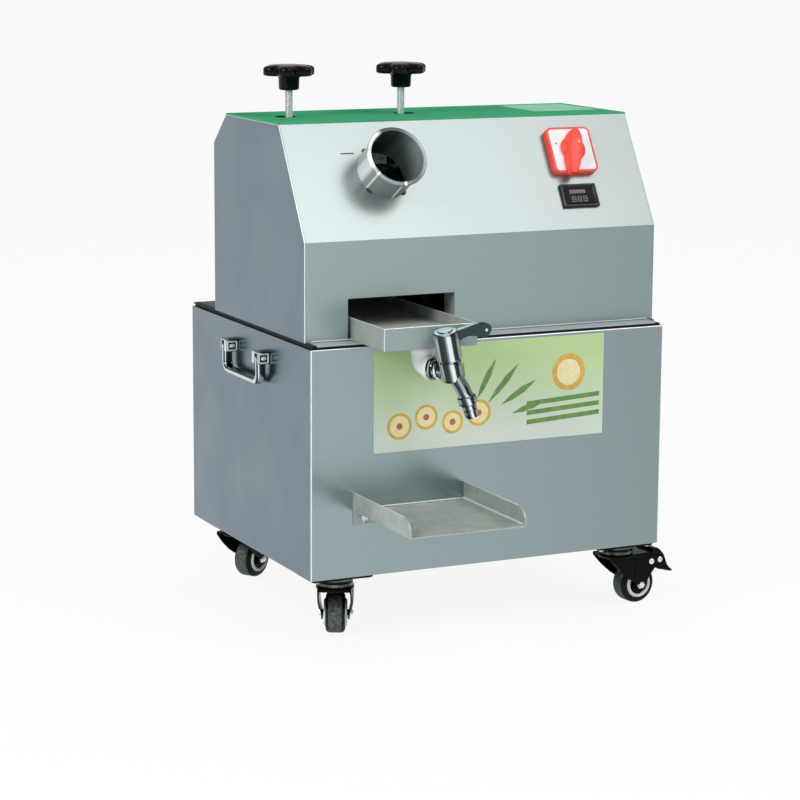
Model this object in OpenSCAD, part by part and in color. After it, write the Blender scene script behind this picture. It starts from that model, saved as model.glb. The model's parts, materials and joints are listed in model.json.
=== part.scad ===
// Electric sugarcane juicer: a wheeled sheet-steel cabinet with a three-roller press head on top.
// Millimetres, +Z up. The origin is on the floor under the middle of the machine, and -Y is its front.

/* [Cabinet] */
// Width of the lower cabinet
cabinet_w = 500; // [480:5:560]
// Depth of the lower cabinet
cabinet_d = 400; // [380:5:480]
// Height of the lower cabinet from its floor to its rim
cabinet_h = 291; // [270:1:340]
// Thickness of the sheet steel panels
sheet = 1.5; // [1:0.1:2]
// Width of the inward flange round the top of the cabinet
rim_w = 24; // [18:1:40]
// Thickness of the dark seal between the rim and the deck
seal_t = 3; // [1:0.5:4]
// Thickness of the deck plate that carries the head
deck_t = 2; // [1.5:0.5:5]
// Setback of the deck's edge from the cabinet's outside
deck_inset = 1.5; // [0.5:0.5:4]
// Diameter of the cable hole in the deck
cable_hole_d = 30; // [16:1:40]

/* [Rear door] */
// Width of the rear door
door_w = 360; // [300:5:400]
// Height of the rear door
door_h = 210; // [180:5:230]
// Gap round the rear door
door_gap = 2; // [1:0.5:4]
// Radius of the door hinge knuckles
knuckle_r = 4; // [3:0.5:6]
// Length of one hinge knuckle
knuckle_l = 22; // [15:1:30]
// Diameter of the door hinge pins
door_pin_d = 4; // [3:0.5:5]
// How far the latch handle stands out from the door
latch_out = 12; // [8:1:16]
// Length of the latch cam from its shaft
latch_cam_l = 36; // [32:1:44]

/* [Casters] */
// Height of a caster, floor to mounting plate top
caster_h = 85; // [80:1:95]
// Distance of the swivel pins from the cabinet's sides
swivel_side = 46; // [44:1:55]
// Distance of the front swivel pins from the cabinet front
swivel_front = 30; // [29:1:60]
// Distance of the rear swivel pins from the cabinet back
swivel_rear = 50; // [29:1:70]
// Wheel diameter
wheel_d = 52; // [46:1:54]
// Wheel width
wheel_w = 25; // [20:1:28]
// Distance of the axle behind the swivel pin
trail = 29; // [24:1:32]
// Mounting plate width
plate_w = 84; // [70:1:88]
// Mounting plate depth
plate_d = 56; // [50:1:58]
// Mounting plate thickness
plate_t = 3; // [2:0.5:4]
// Thickness of the fork's pressed steel
fork_t = 2.5; // [2:0.5:4]
// Reach of the brake pedal's tip from the swivel pin
pedal_reach = 80; // [76:1:88]

/* [Head] */
// Setback of the head's sides from the cabinet's sides
head_inset = 2; // [1.5:0.5:15]
// Setback of the head's front from the cabinet front
head_front = 24; // [15:1:40]
// Height of the upright part of the head's front
front_h = 124; // [110:1:140]
// Height of the head from the deck to the top of its cover
head_h = 264; // [255:1:280]
// Run of the sloping front, front to back
slope_run = 81; // [70:1:90]
// Depth of the flat top
top_d = 174; // [160:1:190]
// Depth of the bevel behind the top
bevel_d = 43; // [30:1:50]
// Height of the bevel behind the top
bevel_h = 39; // [30:1:50]
// Thickness of the green top cover
cover_t = 2; // [1:0.5:3]
// Diameter of the holes in the cover for the press screws
cover_hole_d = 28; // [20:1:34]
// How far those holes stand outward of the screws
cover_hole_out = 5; // [0:1:8]
// Width of the juice opening in the front
juice_opening_w = 147; // [140:1:160]
// Height of the juice opening in the front
juice_opening_h = 52; // [46:1:70]

/* [Feed tube] */
// Outer diameter of the feed tube
tube_d = 71; // [60:1:80]
// Wall of the feed tube
tube_wall = 1.5; // [1:0.1:3]
// How far the tube stands out of the slope
tube_out = 49; // [35:1:60]
// How far the tube reaches inside the slope
tube_in = 18; // [10:1:24]
// Diameter of the rolled lip
lip_d = 75; // [74:1:90]
// Length of the rolled lip
lip_l = 4; // [3:0.5:8]
// Distance of the tube's middle up the slope
tube_s = 92; // [80:1:100]

/* [Controls] */
// Switch plate side
switch_side = 64; // [56:1:70]
// Switch plate thickness
switch_t = 10; // [8:0.5:14]
// Corner radius of the switch plate
switch_r = 8; // [4:1:12]
// Distance of the switch's middle from the cabinet's right side
switch_side_in = 101; // [80:1:115]
// Distance of the switch's middle up the slope
switch_s = 107; // [100:1:115]
// Switch knob diameter
switch_knob_d = 40; // [36:1:46]
// Height of the switch knob's grip above the plate
switch_grip_h = 22; // [16:1:28]
// Depth of the switch behind the panel
switch_depth = 46; // [30:1:60]
// Meter bezel width
meter_w = 52; // [46:1:60]
// Meter bezel height
meter_h = 32; // [28:1:36]
// Meter bezel thickness
meter_t = 5; // [3:0.5:7]
// Distance of the meter's middle from the cabinet's right side
meter_side_in = 103; // [80:1:115]
// Distance of the meter's middle up the slope
meter_s = 45; // [38:1:50]

/* [Press] */
// Distance of the press's middle from the cabinet's left side
press_side_in = 134; // [130:1:138]
// Distance of the upper roller from the cabinet front
press_y = 195; // [190:1:200]
// Height of the lower roller axes above the deck
roller_z = 114; // [108:1:118]
// Gap between the upper roller and each lower one
roller_nip = 4; // [2:0.5:8]
// Roller length
roller_l = 138; // [130:1:148]
// Diameter of the roller journals
journal_d = 25; // [20:1:30]
// Half the distance between the two lower rollers
roller_half = 38; // [37:0.5:40]
// Grooves round each roller
grooves = 11; // [5:1:15]
// Gap at each end of a roller
roller_gap = 2; // [1:0.5:4]
// Thickness of the press frame plates
frame_t = 16; // [12:1:20]
// Depth of the press frame plates
frame_d = 166; // [150:1:180]
// Height of the press frame plates
frame_h = 222; // [220:1:226]
// Width of a bearing block
block_w = 48; // [40:1:52]
// Height of a bearing block
block_h = 52; // [44:1:56]
// Height of the bridges that hold the screws
bridge_h = 22; // [18:1:24]
// Wall of the bushes that carry the lower rollers
bush_wall = 4; // [3:0.5:6]
// Diameter of the tie bars between the frame plates
tie_d = 16; // [12:1:18]
// Gear module
gear_m = 3; // [2.8:0.1:3]
// Gear teeth
gear_n = 22; // [20:1:23]
// Gear face width
gear_w = 18; // [14:1:22]
// Share of the pitch that a tooth takes
tooth_share = 0.43; // [0.4:0.01:0.45]

/* [Press screws and knobs] */
// Press screw diameter
screw_d = 10; // [8:1:12]
// Length of screw that shows above the cover
screw_show = 34; // [25:1:45]
// Knob hub diameter
hub_d = 27; // [22:1:32]
// Knob hub height
hub_h = 18; // [14:1:24]
// Diameter of the star knob over its lobes
knob_d = 67; // [56:1:76]
// Thickness of the star knob
knob_t = 12; // [9:1:16]
// Lobes of the star knob
knob_lobes = 6; // [5:1:8]

/* [Drive] */
// Width of the gearbox along the roller axis
gearbox_w = 86; // [70:1:100]
// Depth of the gearbox
gearbox_d = 100; // [90:1:110]
// Height of the gearbox above its output shaft
gearbox_up = 48; // [40:1:55]
// Height of the gearbox below its output shaft
gearbox_down = 75; // [68:1:85]
// Output shaft diameter
shaft_d = 20; // [16:1:22]
// Coupling diameter
coupling_d = 44; // [38:1:50]
// Coupling length
coupling_l = 36; // [30:1:44]
// Motor diameter
motor_d = 100; // [80:1:104]
// Motor length
motor_l = 130; // [100:1:140]
// Drop of the motor axis below the output shaft
motor_drop = 38; // [34:1:42]
// Battery width
battery_w = 190; // [150:5:210]
// Battery depth
battery_d = 130; // [100:5:180]
// Battery height
battery_h = 170; // [120:5:200]

/* [Bagasse outlet] */
// Height of the outlet's lower edge above the deck
outlet_z = 86; // [80:1:92]
// Height of the outlet
outlet_h = 112; // [100:1:120]
// Angle of the chute below level
chute_a = 30; // [25:1:34]
// Length of the chute
chute_l = 140; // [110:1:145]
// Height of the chute's sides
chute_side = 34; // [20:1:40]

/* [Trays] */
// Width of the juice tray
juice_w = 126; // [110:1:136]
// Height of the juice tray's walls
juice_h = 28; // [20:1:34]
// Height of the juice tray's floor above its lower edge
juice_floor = 11; // [2:1:14]
// How far the juice tray stands out of the cabinet front
juice_out = 72; // [60:1:90]
// Length of the juice tray
juice_l = 352; // [320:1:365]
// Offset of the juice tray to the left of the press middle
juice_shift = 6; // [0:1:8]
// Width of the cup tray
cup_w = 156; // [120:1:170]
// How far the cup tray stands out
cup_d = 166; // [140:1:190]
// Height of the cup tray's sides
cup_wall = 22; // [15:1:30]
// Radius of the front corners of the cup tray's sides
cup_r = 20; // [10:1:22]
// Height of the cup tray's floor above the cabinet bottom
cup_z = 87; // [70:1:110]
// Drop of the cup tray's fixing flange
cup_flange = 18; // [14:1:24]

/* [Tap] */
// Distance of the tap's elbow behind the juice tray's front
elbow_back = 26; // [22:1:40]
// Elbow diameter
elbow_d = 27; // [24:1:30]
// Drop of the tap's axis below the juice tray
tap_drop = 26; // [24:1:36]
// Direction of the tap, to the right of straight ahead
tap_turn = 25; // [0:5:40]
// Roll of the tap about its own inlet, as screwed home
tap_roll = 14; // [0:1:20]
// Reach of the valve from the elbow
valve_reach = 46; // [42:1:54]
// Diameter of the tap's flange
tap_flange_d = 30; // [26:1:34]
// Diameter of the tap's body
tap_body_d = 20; // [16:1:24]
// Diameter of the valve cap
cap_d = 32; // [26:1:34]
// Height of the valve cap
cap_h = 36; // [28:1:42]
// Length of the tap's lever from the valve
lever_l = 60; // [50:1:80]
// Spout diameter
spout_d = 19; // [16:1:22]
// Spout length
spout_l = 64; // [58:1:76]
// Angle of the spout below level
spout_a = 58; // [45:1:65]

/* [Side handles] */
// Distance of the handle pivots below the cabinet's rim
handle_below = 31; // [26:1:51]
// Distance of the handles' middle from the cabinet front
handle_y = 194; // [180:1:210]
// Distance between the handle's legs
handle_span = 112; // [100:1:130]
// Length of the handle's legs from pivot to end
handle_drop = 34; // [30:1:46]
// Width of the handle bar
bar_w = 13; // [10:1:16]
// Thickness of the handle bar
bar_t = 8; // [6:1:10]
// How far the handle stands out from the panel
handle_out = 16; // [15:1:20]

/* [Fits] */
// Radial clearance of running fits
run = 0.05; // [0.02:0.01:0.1]
// Clearance between pieces that move past each other
slip = 0.3; // [0.2:0.05:0.5]

/* [Hidden] */

$fn = 48;
// Overshoot of cutting solids
cut = 1;

// Levels above the floor
base_z = caster_h;
rim_z = base_z + cabinet_h;
deck_z = rim_z + seal_t + deck_t;
panel_top = head_h - cover_t;

// Head outline, from the cabinet front
slope_a = atan(slope_run / (panel_top - front_h));
bevel_a = atan(bevel_d / bevel_h);
top_front = head_front + slope_run;
top_back = top_front + top_d;
head_rear = top_back + bevel_d;
head_w = cabinet_w - 2 * head_inset;
head_in = head_w / 2 - sheet;

// Places from side to side
press_x = cabinet_w / 2 - press_side_in;
switch_x = cabinet_w / 2 - switch_side_in;
meter_x = cabinet_w / 2 - meter_side_in;
swivel_x = cabinet_w / 2 - swivel_side;

// Press layout, seen from the right side as y and z
pitch_d = gear_m * gear_n;
roller_d = pitch_d - roller_nip;
groove_deep = 1.5;
lower_z = deck_z + roller_z;
upper_z = lower_z + sqrt(pitch_d * pitch_d - roller_half * roller_half);
front_y = press_y - roller_half;
rear_y = press_y + roller_half;
throat_half = roller_l / 2 + roller_gap;
plate_mid = throat_half + frame_t / 2;
frame_top = deck_z + frame_h;
frame_front = press_y - frame_d / 2;
slot_w = block_w + 2 * slip;
block_low = upper_z - block_h / 2;
block_top = upper_z + block_h / 2;
bush_d = journal_d + 2 * run + 2 * bush_wall;
gear_x = -press_x + throat_half + frame_t + roller_gap;
gear_end = gear_x + gear_w;
tooth_pitch = 360 / gear_n;
tooth_root = 1.25 * gear_m;
tooth_slant = tan(20);
front_dir = atan2(lower_z - upper_z, -roller_half);
rear_dir = atan2(lower_z - upper_z, roller_half);
upper_phase = front_dir;
front_phase = mesh_phase(front_dir, upper_phase);
rear_phase = mesh_phase(rear_dir, upper_phase);
function mesh_phase(line, phase) = line + 180 + (line - phase) - tooth_pitch / 2;
journal_out = 4;
left_end = -press_x - throat_half - frame_t - journal_out;

// Drive line to the right of the gears
coupling_x = gear_end + roller_gap;
coupling_mid = coupling_x + coupling_l / 2;
gearbox_x = coupling_x + coupling_l + roller_gap;
gearbox_front = rear_y - gearbox_d / 2;
shaft_in = gearbox_w / 3;
bracket_t = 4;
bell_l = 12;
bell_d = motor_d - 14;
battery_x = 60;
battery_y = cabinet_d / 2 + 20;
terminal_d = 14;
terminal_h = 12;
chute_gap = 6;
chute_lift = 15;

// Knobs and screws
cover_z = deck_z + head_h;
hub_z = cover_z + screw_show;
knob_z = hub_z + hub_h;
knob_grip = 4;
screw_pair = plate_mid;
lobe_d = 18;
star_d = knob_d - 25;

// Juice tray and tap
juice_x = -press_x - juice_shift;
juice_z = deck_z + slip;
elbow_y = -juice_out + elbow_back;
tap_z = juice_z - tap_drop;
nipple_d = 20;
nipple_head_d = 30;
nipple_head_t = 4;
elbow_l = 17;
tap_flange_t = 5;
valve_d = cap_d - 4;
valve_up = 15;
valve_down = 12;
knee_swell = 0.4;
collar_at = 5;
spout_bore = 11;
spout_neck = 32;
spout_bend = 22;
spout_knee = spout_l - spout_neck;
spout_end_d = spout_d - 4;
collar_d = spout_d + 3;
collar_l = 9;
barb_d = spout_d - 1;
barb_l = 7;
barb_back = 16;
lever_t = 12;
lever_end_t = 20;
lever_w = 9;
lever_r = 5;
lever_sink = 1;

// Switch and meter
switch_rim = 3;
switch_shaft_d = 8;
switch_neck_d = 12;
switch_plate_t = 1;
switch_body_side = 46;
switch_foot_t = 5;
grip_w = 14;
grip_shoulder = 7;
grip_half = switch_knob_d / 2 + 12;
grip_turn = -17;
grip_top_half = 11;
meter_body_w = 45;
meter_body_h = 26;
meter_body_d = 14;
meter_rim = 4;
meter_glass_t = 1.5;

// Casters: position of each swivel pin and the way its wheel trails
swivel_back = cabinet_d - swivel_rear;
casters = [
    [-swivel_x, swivel_front, 64],
    [swivel_x, swivel_front, 5],
    [-swivel_x, swivel_back, 31],
    [swivel_x, swivel_back, 20]
];
axle_z = wheel_d / 2;
axle_d = 8;
swivel_d = 12;
race_d = 44;
race_h = 12;
crown_top = caster_h - plate_t - race_h - slip;
crown_t = 5;
crown_d = race_d + 4;
plate_r = 6;
wheel_gap = 4;
leg_in = wheel_w / 2 + wheel_gap;
axle_half = leg_in + 3 * fork_t;
wheel_ring_d = wheel_d * 0.64;
ring_step = 2;
tyre_round = 5;
pedal_u = trail + 14;
pedal_z = axle_z + 31;
pedal_pin_d = 6;
pin_half = leg_in + 1.4 * fork_t;
pedal_boss_d = 14;
pedal_half = leg_in - slip;
pedal_hump = 16;
pedal_toe = 18;
ear_r = 9;

// Side handles
post_w = 9;
post_h = 14;
pivot_out = handle_out - bar_w / 2;
handle_pin_d = 6;
pin_reach = bar_t * 0.75;

// Rear door
hinge_x = door_w / 2 + door_gap / 2;
hinge_y = cabinet_d + knuckle_r + slip;
hinge_leaf = 16;
door_z = base_z + (cabinet_h - door_h) / 2;
hinge_low = door_z + door_h * 0.15;
hinge_high = door_z + door_h * 0.65;
latch_d = 26;
latch_shaft_d = 8;
latch_x = -door_w / 2 + 26;
latch_cam_t = 2;
latch_cam_w = 12;

// Cup tray and its fixing bolts
cup_shift = -0.5;
cup_bolt_d = 9;
cup_bolt_t = 3;
cup_bolt_in = 15;
cup_slot_w = 6;
cup_x = -press_x - cup_shift;
cup_floor = base_z + cup_z;

// Middle of the whole machine seen from above
right_end_x = swivel_x + pedal_reach * cos(casters[1][2]) + pedal_half * sin(casters[1][2]);
mid_x = (right_end_x - cabinet_w / 2 - handle_out) / 2;
mid_y = (cabinet_d + latch_out - cup_d) / 2;

// Puts a piece drawn from the cabinet's front middle into the machine's frame
module place() {
    translate([-mid_x, -mid_y, 0]) children();
}

// A box given by its low corner and its high corner
module span(low, high) {
    translate(low) cube(high - low);
}

// A rod along X
module rod_x(d, from, to) {
    translate([from, 0, 0]) rotate([0, 90, 0]) cylinder(d = d, h = to - from);
}

// A rod along Y
module rod_y(d, from, to) {
    translate([0, from, 0]) rotate([-90, 0, 0]) cylinder(d = d, h = to - from);
}

// A profile drawn in y and z, made solid along X
module along_x(from, to) {
    translate([from, 0, 0]) rotate([90, 0, 90]) linear_extrude(to - from) children();
}

// A place on the sloping front: X right, Y up the slope, Z out of it
module on_slope(x, s) {
    translate([x, head_front + s * sin(slope_a), deck_z + front_h + s * cos(slope_a)])
        rotate([90 - slope_a, 0, 0]) children();
}

// A square plate with round corners
module round_plate(w, h, r, t) {
    union() {
        translate([-w / 2 + r, -h / 2, 0]) cube([w - 2 * r, h, t]);
        translate([-w / 2, -h / 2 + r, 0]) cube([w, h - 2 * r, t]);
        for (x = [-1, 1], y = [-1, 1])
            translate([x * (w / 2 - r), y * (h / 2 - r), 0]) cylinder(r = r, h = t);
    }
}

// Front and two sides bent from one sheet, with the flange that the deck sits on
module cabinet_shell() {
    color("#8fa0a0") difference() {
        span([-cabinet_w / 2, 0, base_z], [cabinet_w / 2, cabinet_d, rim_z]);
        span([-cabinet_w / 2 + sheet, sheet, base_z - cut],
             [cabinet_w / 2 - sheet, cabinet_d + cut, rim_z - sheet]);
        span([-cabinet_w / 2 + rim_w, rim_w, rim_z - sheet - cut],
             [cabinet_w / 2 - rim_w, cabinet_d - rim_w, rim_z + cut]);
    }
}

// One hinge knuckle on the pin line, standing on a leaf that lies to one side
module knuckle(z, side) {
    translate([hinge_x, hinge_y, z]) cylinder(r = knuckle_r, h = knuckle_l);
    translate([side > 0 ? hinge_x : hinge_x - hinge_leaf, cabinet_d, z])
        cube([hinge_leaf, knuckle_r + slip, knuckle_l]);
}

// Rear panel with the door opening, its fixed knuckles and the hinge pins
module cabinet_back() {
    color("#8b999d") union() {
        difference() {
            span([-cabinet_w / 2 + sheet, cabinet_d - sheet, base_z],
                 [cabinet_w / 2 - sheet, cabinet_d, rim_z - sheet]);
            span([-door_w / 2 - door_gap, cabinet_d - sheet - cut, door_z - door_gap],
                 [door_w / 2 + door_gap, cabinet_d + cut, door_z + door_h + door_gap]);
        }
        for (z = [hinge_low, hinge_high]) {
            difference() {
                knuckle(z, 1);
                span([hinge_x - knuckle_r, cabinet_d - cut, z - cut],
                     [door_w / 2 + door_gap, cabinet_d, z + knuckle_l + cut]);
            }
            translate([hinge_x, hinge_y, z + knuckle_l / 2])
                cylinder(d = door_pin_d, h = 1.5 * knuckle_l);
        }
    }
}

module cabinet_floor() {
    color("#7d8a90") span([-cabinet_w / 2 + sheet, sheet, base_z],
                          [cabinet_w / 2 - sheet, cabinet_d - sheet, base_z + sheet]);
}

// Rear door with its own knuckles above the fixed ones
module cabinet_door() {
    color("#8b999d") difference() {
        union() {
            span([-door_w / 2, cabinet_d - sheet, door_z], [door_w / 2, cabinet_d, door_z + door_h]);
            for (z = [hinge_low, hinge_high]) knuckle(z + knuckle_l + slip, -1);
        }
        translate([hinge_x, hinge_y, door_z]) cylinder(d = door_pin_d + 2 * run, h = door_h);
        translate([latch_x, 0, door_z + door_h / 2])
            rod_y(latch_shaft_d + 2 * run, cabinet_d - sheet - cut, cabinet_d + cut);
    }
}

// Quarter-turn latch: round grip outside, shaft, and a cam behind the panel
module door_latch() {
    grip_low = cabinet_d + slip;
    cam_back = cabinet_d - sheet - slip;
    color("#2a2c2e") translate([latch_x, 0, door_z + door_h / 2]) union() {
        rod_y(latch_d, grip_low, cabinet_d + latch_out / 2);
        span([-latch_d / 6, grip_low, -latch_d / 2 + sheet],
             [latch_d / 6, cabinet_d + latch_out, latch_d / 2 - sheet]);
        rod_y(latch_shaft_d, cam_back - latch_cam_t, grip_low + cut);
        span([-latch_cam_w / 2, cam_back - latch_cam_t, -latch_cam_w / 2],
             [latch_cam_w / 2, cam_back, latch_cam_l]);
    }
}

// A place at one caster: the swivel pin is Z, and X is the way the wheel trails
module at_caster(i) {
    translate([casters[i][0], casters[i][1], 0]) rotate([0, 0, casters[i][2]]) children();
}

// Four mounting plates, each with its upper ball race
module caster_plates() {
    color("#1b1d1e") for (c = casters) translate([c[0], c[1], 0]) difference() {
        union() {
            translate([0, 0, caster_h - plate_t]) round_plate(plate_w, plate_d, plate_r, plate_t);
            translate([0, 0, caster_h - plate_t - race_h]) cylinder(d = race_d, h = race_h + plate_t / 2);
        }
        translate([0, 0, caster_h - plate_t - race_h - cut])
            cylinder(d = swivel_d + 2 * run, h = race_h + plate_t + 2 * cut);
    }
}

// Outline of one fork leg in u along the trail and z
module leg_outline() {
    polygon([
        [-race_d / 2, crown_top], [pedal_u + ear_r, crown_top], [pedal_u + ear_r, pedal_z],
        [trail + ear_r, axle_z], [trail - ear_r, axle_z], [-race_d / 2, crown_top - crown_t]
    ]);
    translate([trail, axle_z]) circle(r = ear_r);
    translate([pedal_u, pedal_z]) circle(r = ear_r);
}

// Pressed fork with its swivel pin, the axle bolt and the pin of the brake pedal
module caster_fork(i) {
    color("#141516") at_caster(i) union() {
        translate([0, 0, crown_top - crown_t]) cylinder(d = crown_d, h = crown_t);
        translate([0, 0, crown_top - crown_t / 2])
            cylinder(d = swivel_d, h = caster_h - plate_t / 2 - crown_top + crown_t / 2);
        span([-race_d / 2, -leg_in - fork_t, crown_top - crown_t], [trail, leg_in + fork_t, crown_top]);
        for (v = [leg_in + fork_t, -leg_in])
            translate([0, v, 0]) rotate([90, 0, 0]) linear_extrude(fork_t) leg_outline();
        translate([trail, 0, axle_z]) rod_y(axle_d, -axle_half, axle_half);
        translate([pedal_u, 0, pedal_z]) rod_y(pedal_pin_d, -pin_half, pin_half);
    }
}

// Wheel turned in one profile: hub, stepped ring and a crowned tyre
module caster_wheel(i) {
    r = wheel_d / 2;
    color("#17181a") at_caster(i) translate([trail, 0, axle_z]) rotate([90, 0, 0])
        rotate_extrude() difference() {
            union() {
                translate([0, -wheel_w / 2]) square([r - tyre_round, wheel_w]);
                translate([0, -wheel_w / 2 + tyre_round]) square([r, wheel_w - 2 * tyre_round]);
                for (s = [-1, 1])
                    translate([r - tyre_round, s * (wheel_w / 2 - tyre_round)]) circle(r = tyre_round);
            }
            translate([-cut, -wheel_w]) square([axle_d / 2 + run + cut, 2 * wheel_w]);
            for (s = [-1, 1])
                translate([wheel_ring_d / 2 - ring_step, s * wheel_w / 2 - ring_step / 2]) square(ring_step);
        }
}

// Brake pedal between the fork's ears: a humped lever with a turned-out toe
module brake_pedal(i) {
    w = pedal_half;
    far = pedal_reach - pedal_u;
    color("#141516") at_caster(i) translate([pedal_u, 0, pedal_z]) difference() {
        union() {
            translate([0, w, 0]) rotate([90, 0, 0]) linear_extrude(2 * w) polygon([
                [0, 0], [far * 0.15, pedal_hump], [far * 0.34, pedal_hump * 0.95], [far * 0.6, pedal_hump * 0.4],
                [far * 0.74, -pedal_toe * 0.4], [far, -pedal_toe + fork_t], [far - fork_t, -pedal_toe],
                [far * 0.6, -pedal_toe * 0.8], [far * 0.36, -pedal_toe * 0.7], [far * 0.22, -pedal_toe / 2]
            ]);
            rod_y(pedal_boss_d, -w, w);
        }
        rod_y(pedal_pin_d + 2 * run, -w - cut, w + cut);
    }
}

// Side wall of the cup tray with its round front corner, as y and z
module cup_side() {
    difference() {
        square([cup_d, sheet + cup_wall]);
        difference() {
            translate([-cut, sheet + cup_wall - cup_r]) square([cup_r + cut, cup_r + cut]);
            translate([cup_r, sheet + cup_wall - cup_r]) circle(r = cup_r);
        }
    }
}

// Shelf for the cup, bent from one sheet, with a flange down the cabinet's front
module cup_tray() {
    color("#a3aaa8") translate([cup_x, -cup_d, cup_floor - sheet]) union() {
        span([-cup_w / 2, 0, 0], [cup_w / 2, cup_d, sheet]);
        along_x(-cup_w / 2, -cup_w / 2 + sheet) cup_side();
        along_x(cup_w / 2 - sheet, cup_w / 2) cup_side();
        difference() {
            span([-cup_w / 2, cup_d - sheet, -cup_flange], [cup_w / 2, cup_d, sheet]);
            for (s = [-1, 1]) translate([s * (cup_w / 2 - cup_bolt_in), cup_d, -cup_flange])
                span([-cup_slot_w / 2, -2 * sheet, -cut], [cup_slot_w / 2, cut, cup_flange / 2]);
        }
        for (s = [-1, 1]) translate([s * (cup_w / 2 - cup_bolt_in), 0, -cup_flange / 2])
            rod_y(cup_bolt_d, cup_d - sheet - cup_bolt_t, cup_d - sheet / 2);
    }
}

// A place at one side handle: side is -1 on the left and 1 on the right
module at_handle(side) {
    translate([side * cabinet_w / 2, handle_y, rim_z - handle_below])
        mirror([side < 0 ? 1 : 0, 0, 0]) children();
}

// Two lugs on each side panel, with the pins that the handle swings on
module handle_posts() {
    lug = handle_span / 2 - bar_t / 2 - slip;
    color("#c9ced0") for (side = [-1, 1]) at_handle(side) for (s = [-1, 1]) union() {
        span([0, s > 0 ? lug - post_w : -lug, -post_h / 2],
             [handle_out, s > 0 ? lug : post_w - lug, post_h / 2]);
        translate([pivot_out, 0, 0])
            rod_y(handle_pin_d, s > 0 ? lug - cut : -lug - pin_reach, s > 0 ? lug + pin_reach : cut - lug);
    }
}

// A swinging handle: two legs with eyes and a cross bar
module handle_bail(side) {
    half = handle_span / 2;
    color("#c9ced0") at_handle(side) translate([pivot_out, 0, 0]) difference() {
        union() {
            for (s = [-1, 1]) translate([0, s * half, 0]) {
                span([-bar_w / 2, -bar_t / 2, -handle_drop + bar_t], [bar_w / 2, bar_t / 2, 0]);
                rod_y(bar_w, -bar_t / 2, bar_t / 2);
                translate([-bar_w / 2, s * -bar_t / 2, -handle_drop + bar_t]) rotate([0, 90, 0])
                    intersection() {
                        cylinder(r = bar_t, h = bar_w);
                        translate([0, s > 0 ? 0 : -bar_t, 0]) cube([bar_t, bar_t, bar_w]);
                    }
            }
            span([-bar_w / 2, bar_t / 2 - half, -handle_drop],
                 [bar_w / 2, half - bar_t / 2, bar_t - handle_drop]);
        }
        rod_y(handle_pin_d + 2 * run, -half - bar_t, half + bar_t);
    }
}

// Storage battery with its two terminals
module battery() {
    color("#3b3f45") translate([battery_x, battery_y, base_z + sheet]) union() {
        translate([-battery_w / 2, -battery_d / 2, 0]) cube([battery_w, battery_d, battery_h]);
        for (s = [-1, 1])
            translate([s * (battery_w / 2 - 2 * terminal_d), 2 * terminal_d - battery_d / 2, battery_h])
                cylinder(d = terminal_d, h = terminal_h);
    }
}

// Dark seal that follows the rim
module deck_seal() {
    inset = deck_inset * 2;
    color("#1c1f20") difference() {
        span([-cabinet_w / 2 + inset, inset, rim_z],
             [cabinet_w / 2 - inset, cabinet_d - inset, rim_z + seal_t]);
        span([-cabinet_w / 2 + rim_w, rim_w, rim_z - cut],
             [cabinet_w / 2 - rim_w, cabinet_d - rim_w, rim_z + seal_t + cut]);
    }
}

// Plate that carries the press, the drive and the head's panels
module deck_plate() {
    color("#9aa5a6") difference() {
        span([-cabinet_w / 2 + deck_inset, deck_inset, deck_z - deck_t],
             [cabinet_w / 2 - deck_inset, cabinet_d - deck_inset, deck_z]);
        translate([head_in - 2 * cable_hole_d, rear_y, deck_z - deck_t - cut])
            cylinder(d = cable_hole_d, h = deck_t + 2 * cut);
    }
}

// Upright front and slope bent from one sheet, with its openings
module head_front() {
    lean = sheet * tan(slope_a / 2);
    color("#d5dcdc") difference() {
        translate([0, 0, deck_z]) along_x(-head_in, head_in) polygon([
            [head_front, 0], [head_front, front_h], [top_front, panel_top],
            [top_front + sheet / cos(slope_a), panel_top], [head_front + sheet, front_h - lean],
            [head_front + sheet, 0]
        ]);
        span([-press_x - juice_opening_w / 2, head_front - cut, deck_z - cut],
             [-press_x + juice_opening_w / 2, head_front + sheet + cut, deck_z + juice_opening_h]);
        on_slope(-press_x, tube_s) translate([0, 0, -2 * sheet])
            cylinder(d = tube_d + 2 * run, h = 3 * sheet);
        on_slope(switch_x, switch_s) translate([0, 0, -2 * sheet])
            cylinder(d = switch_neck_d, h = 3 * sheet);
        on_slope(meter_x, meter_s) translate([-meter_body_w / 2 - slip, -meter_body_h / 2 - slip, -2 * sheet])
            cube([meter_body_w + 2 * slip, meter_body_h + 2 * slip, 3 * sheet]);
    }
}

// One side panel of the head, cut to the head's outline
module head_side(from) {
    color("#808e9a") translate([0, 0, deck_z]) along_x(from, from + sheet) polygon([
        [head_front, 0], [head_rear, 0], [head_rear, panel_top - bevel_h],
        [top_back, panel_top], [top_front, panel_top], [head_front, front_h]
    ]);
}

module head_side_left() {
    head_side(-head_w / 2);
}

module head_side_right() {
    head_side(head_in);
}

// Rear panel with its bevel and the outlet for the pressed cane
module head_back() {
    lean = sheet * tan(bevel_a / 2);
    color("#8b999d") difference() {
        translate([0, 0, deck_z]) along_x(-head_in, head_in) polygon([
            [head_rear, 0], [head_rear, panel_top - bevel_h], [top_back, panel_top],
            [top_back - sheet / cos(bevel_a), panel_top], [head_rear - sheet, panel_top - bevel_h - lean],
            [head_rear - sheet, 0]
        ]);
        span([-press_x - throat_half - slip, head_rear - sheet - cut, deck_z + outlet_z],
             [-press_x + throat_half + slip, head_rear + cut, deck_z + outlet_z + outlet_h]);
    }
}

// Green cover sheet with two holes for the press screws
module top_cover() {
    color("#3e9b67") difference() {
        span([-head_w / 2, top_front, deck_z + panel_top], [head_w / 2, top_back, cover_z]);
        for (s = [-1, 1])
            translate([-press_x + s * (screw_pair + cover_hole_out), press_y, deck_z + panel_top - cut])
                cylinder(d = cover_hole_d, h = cover_t + 2 * cut);
    }
}

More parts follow.
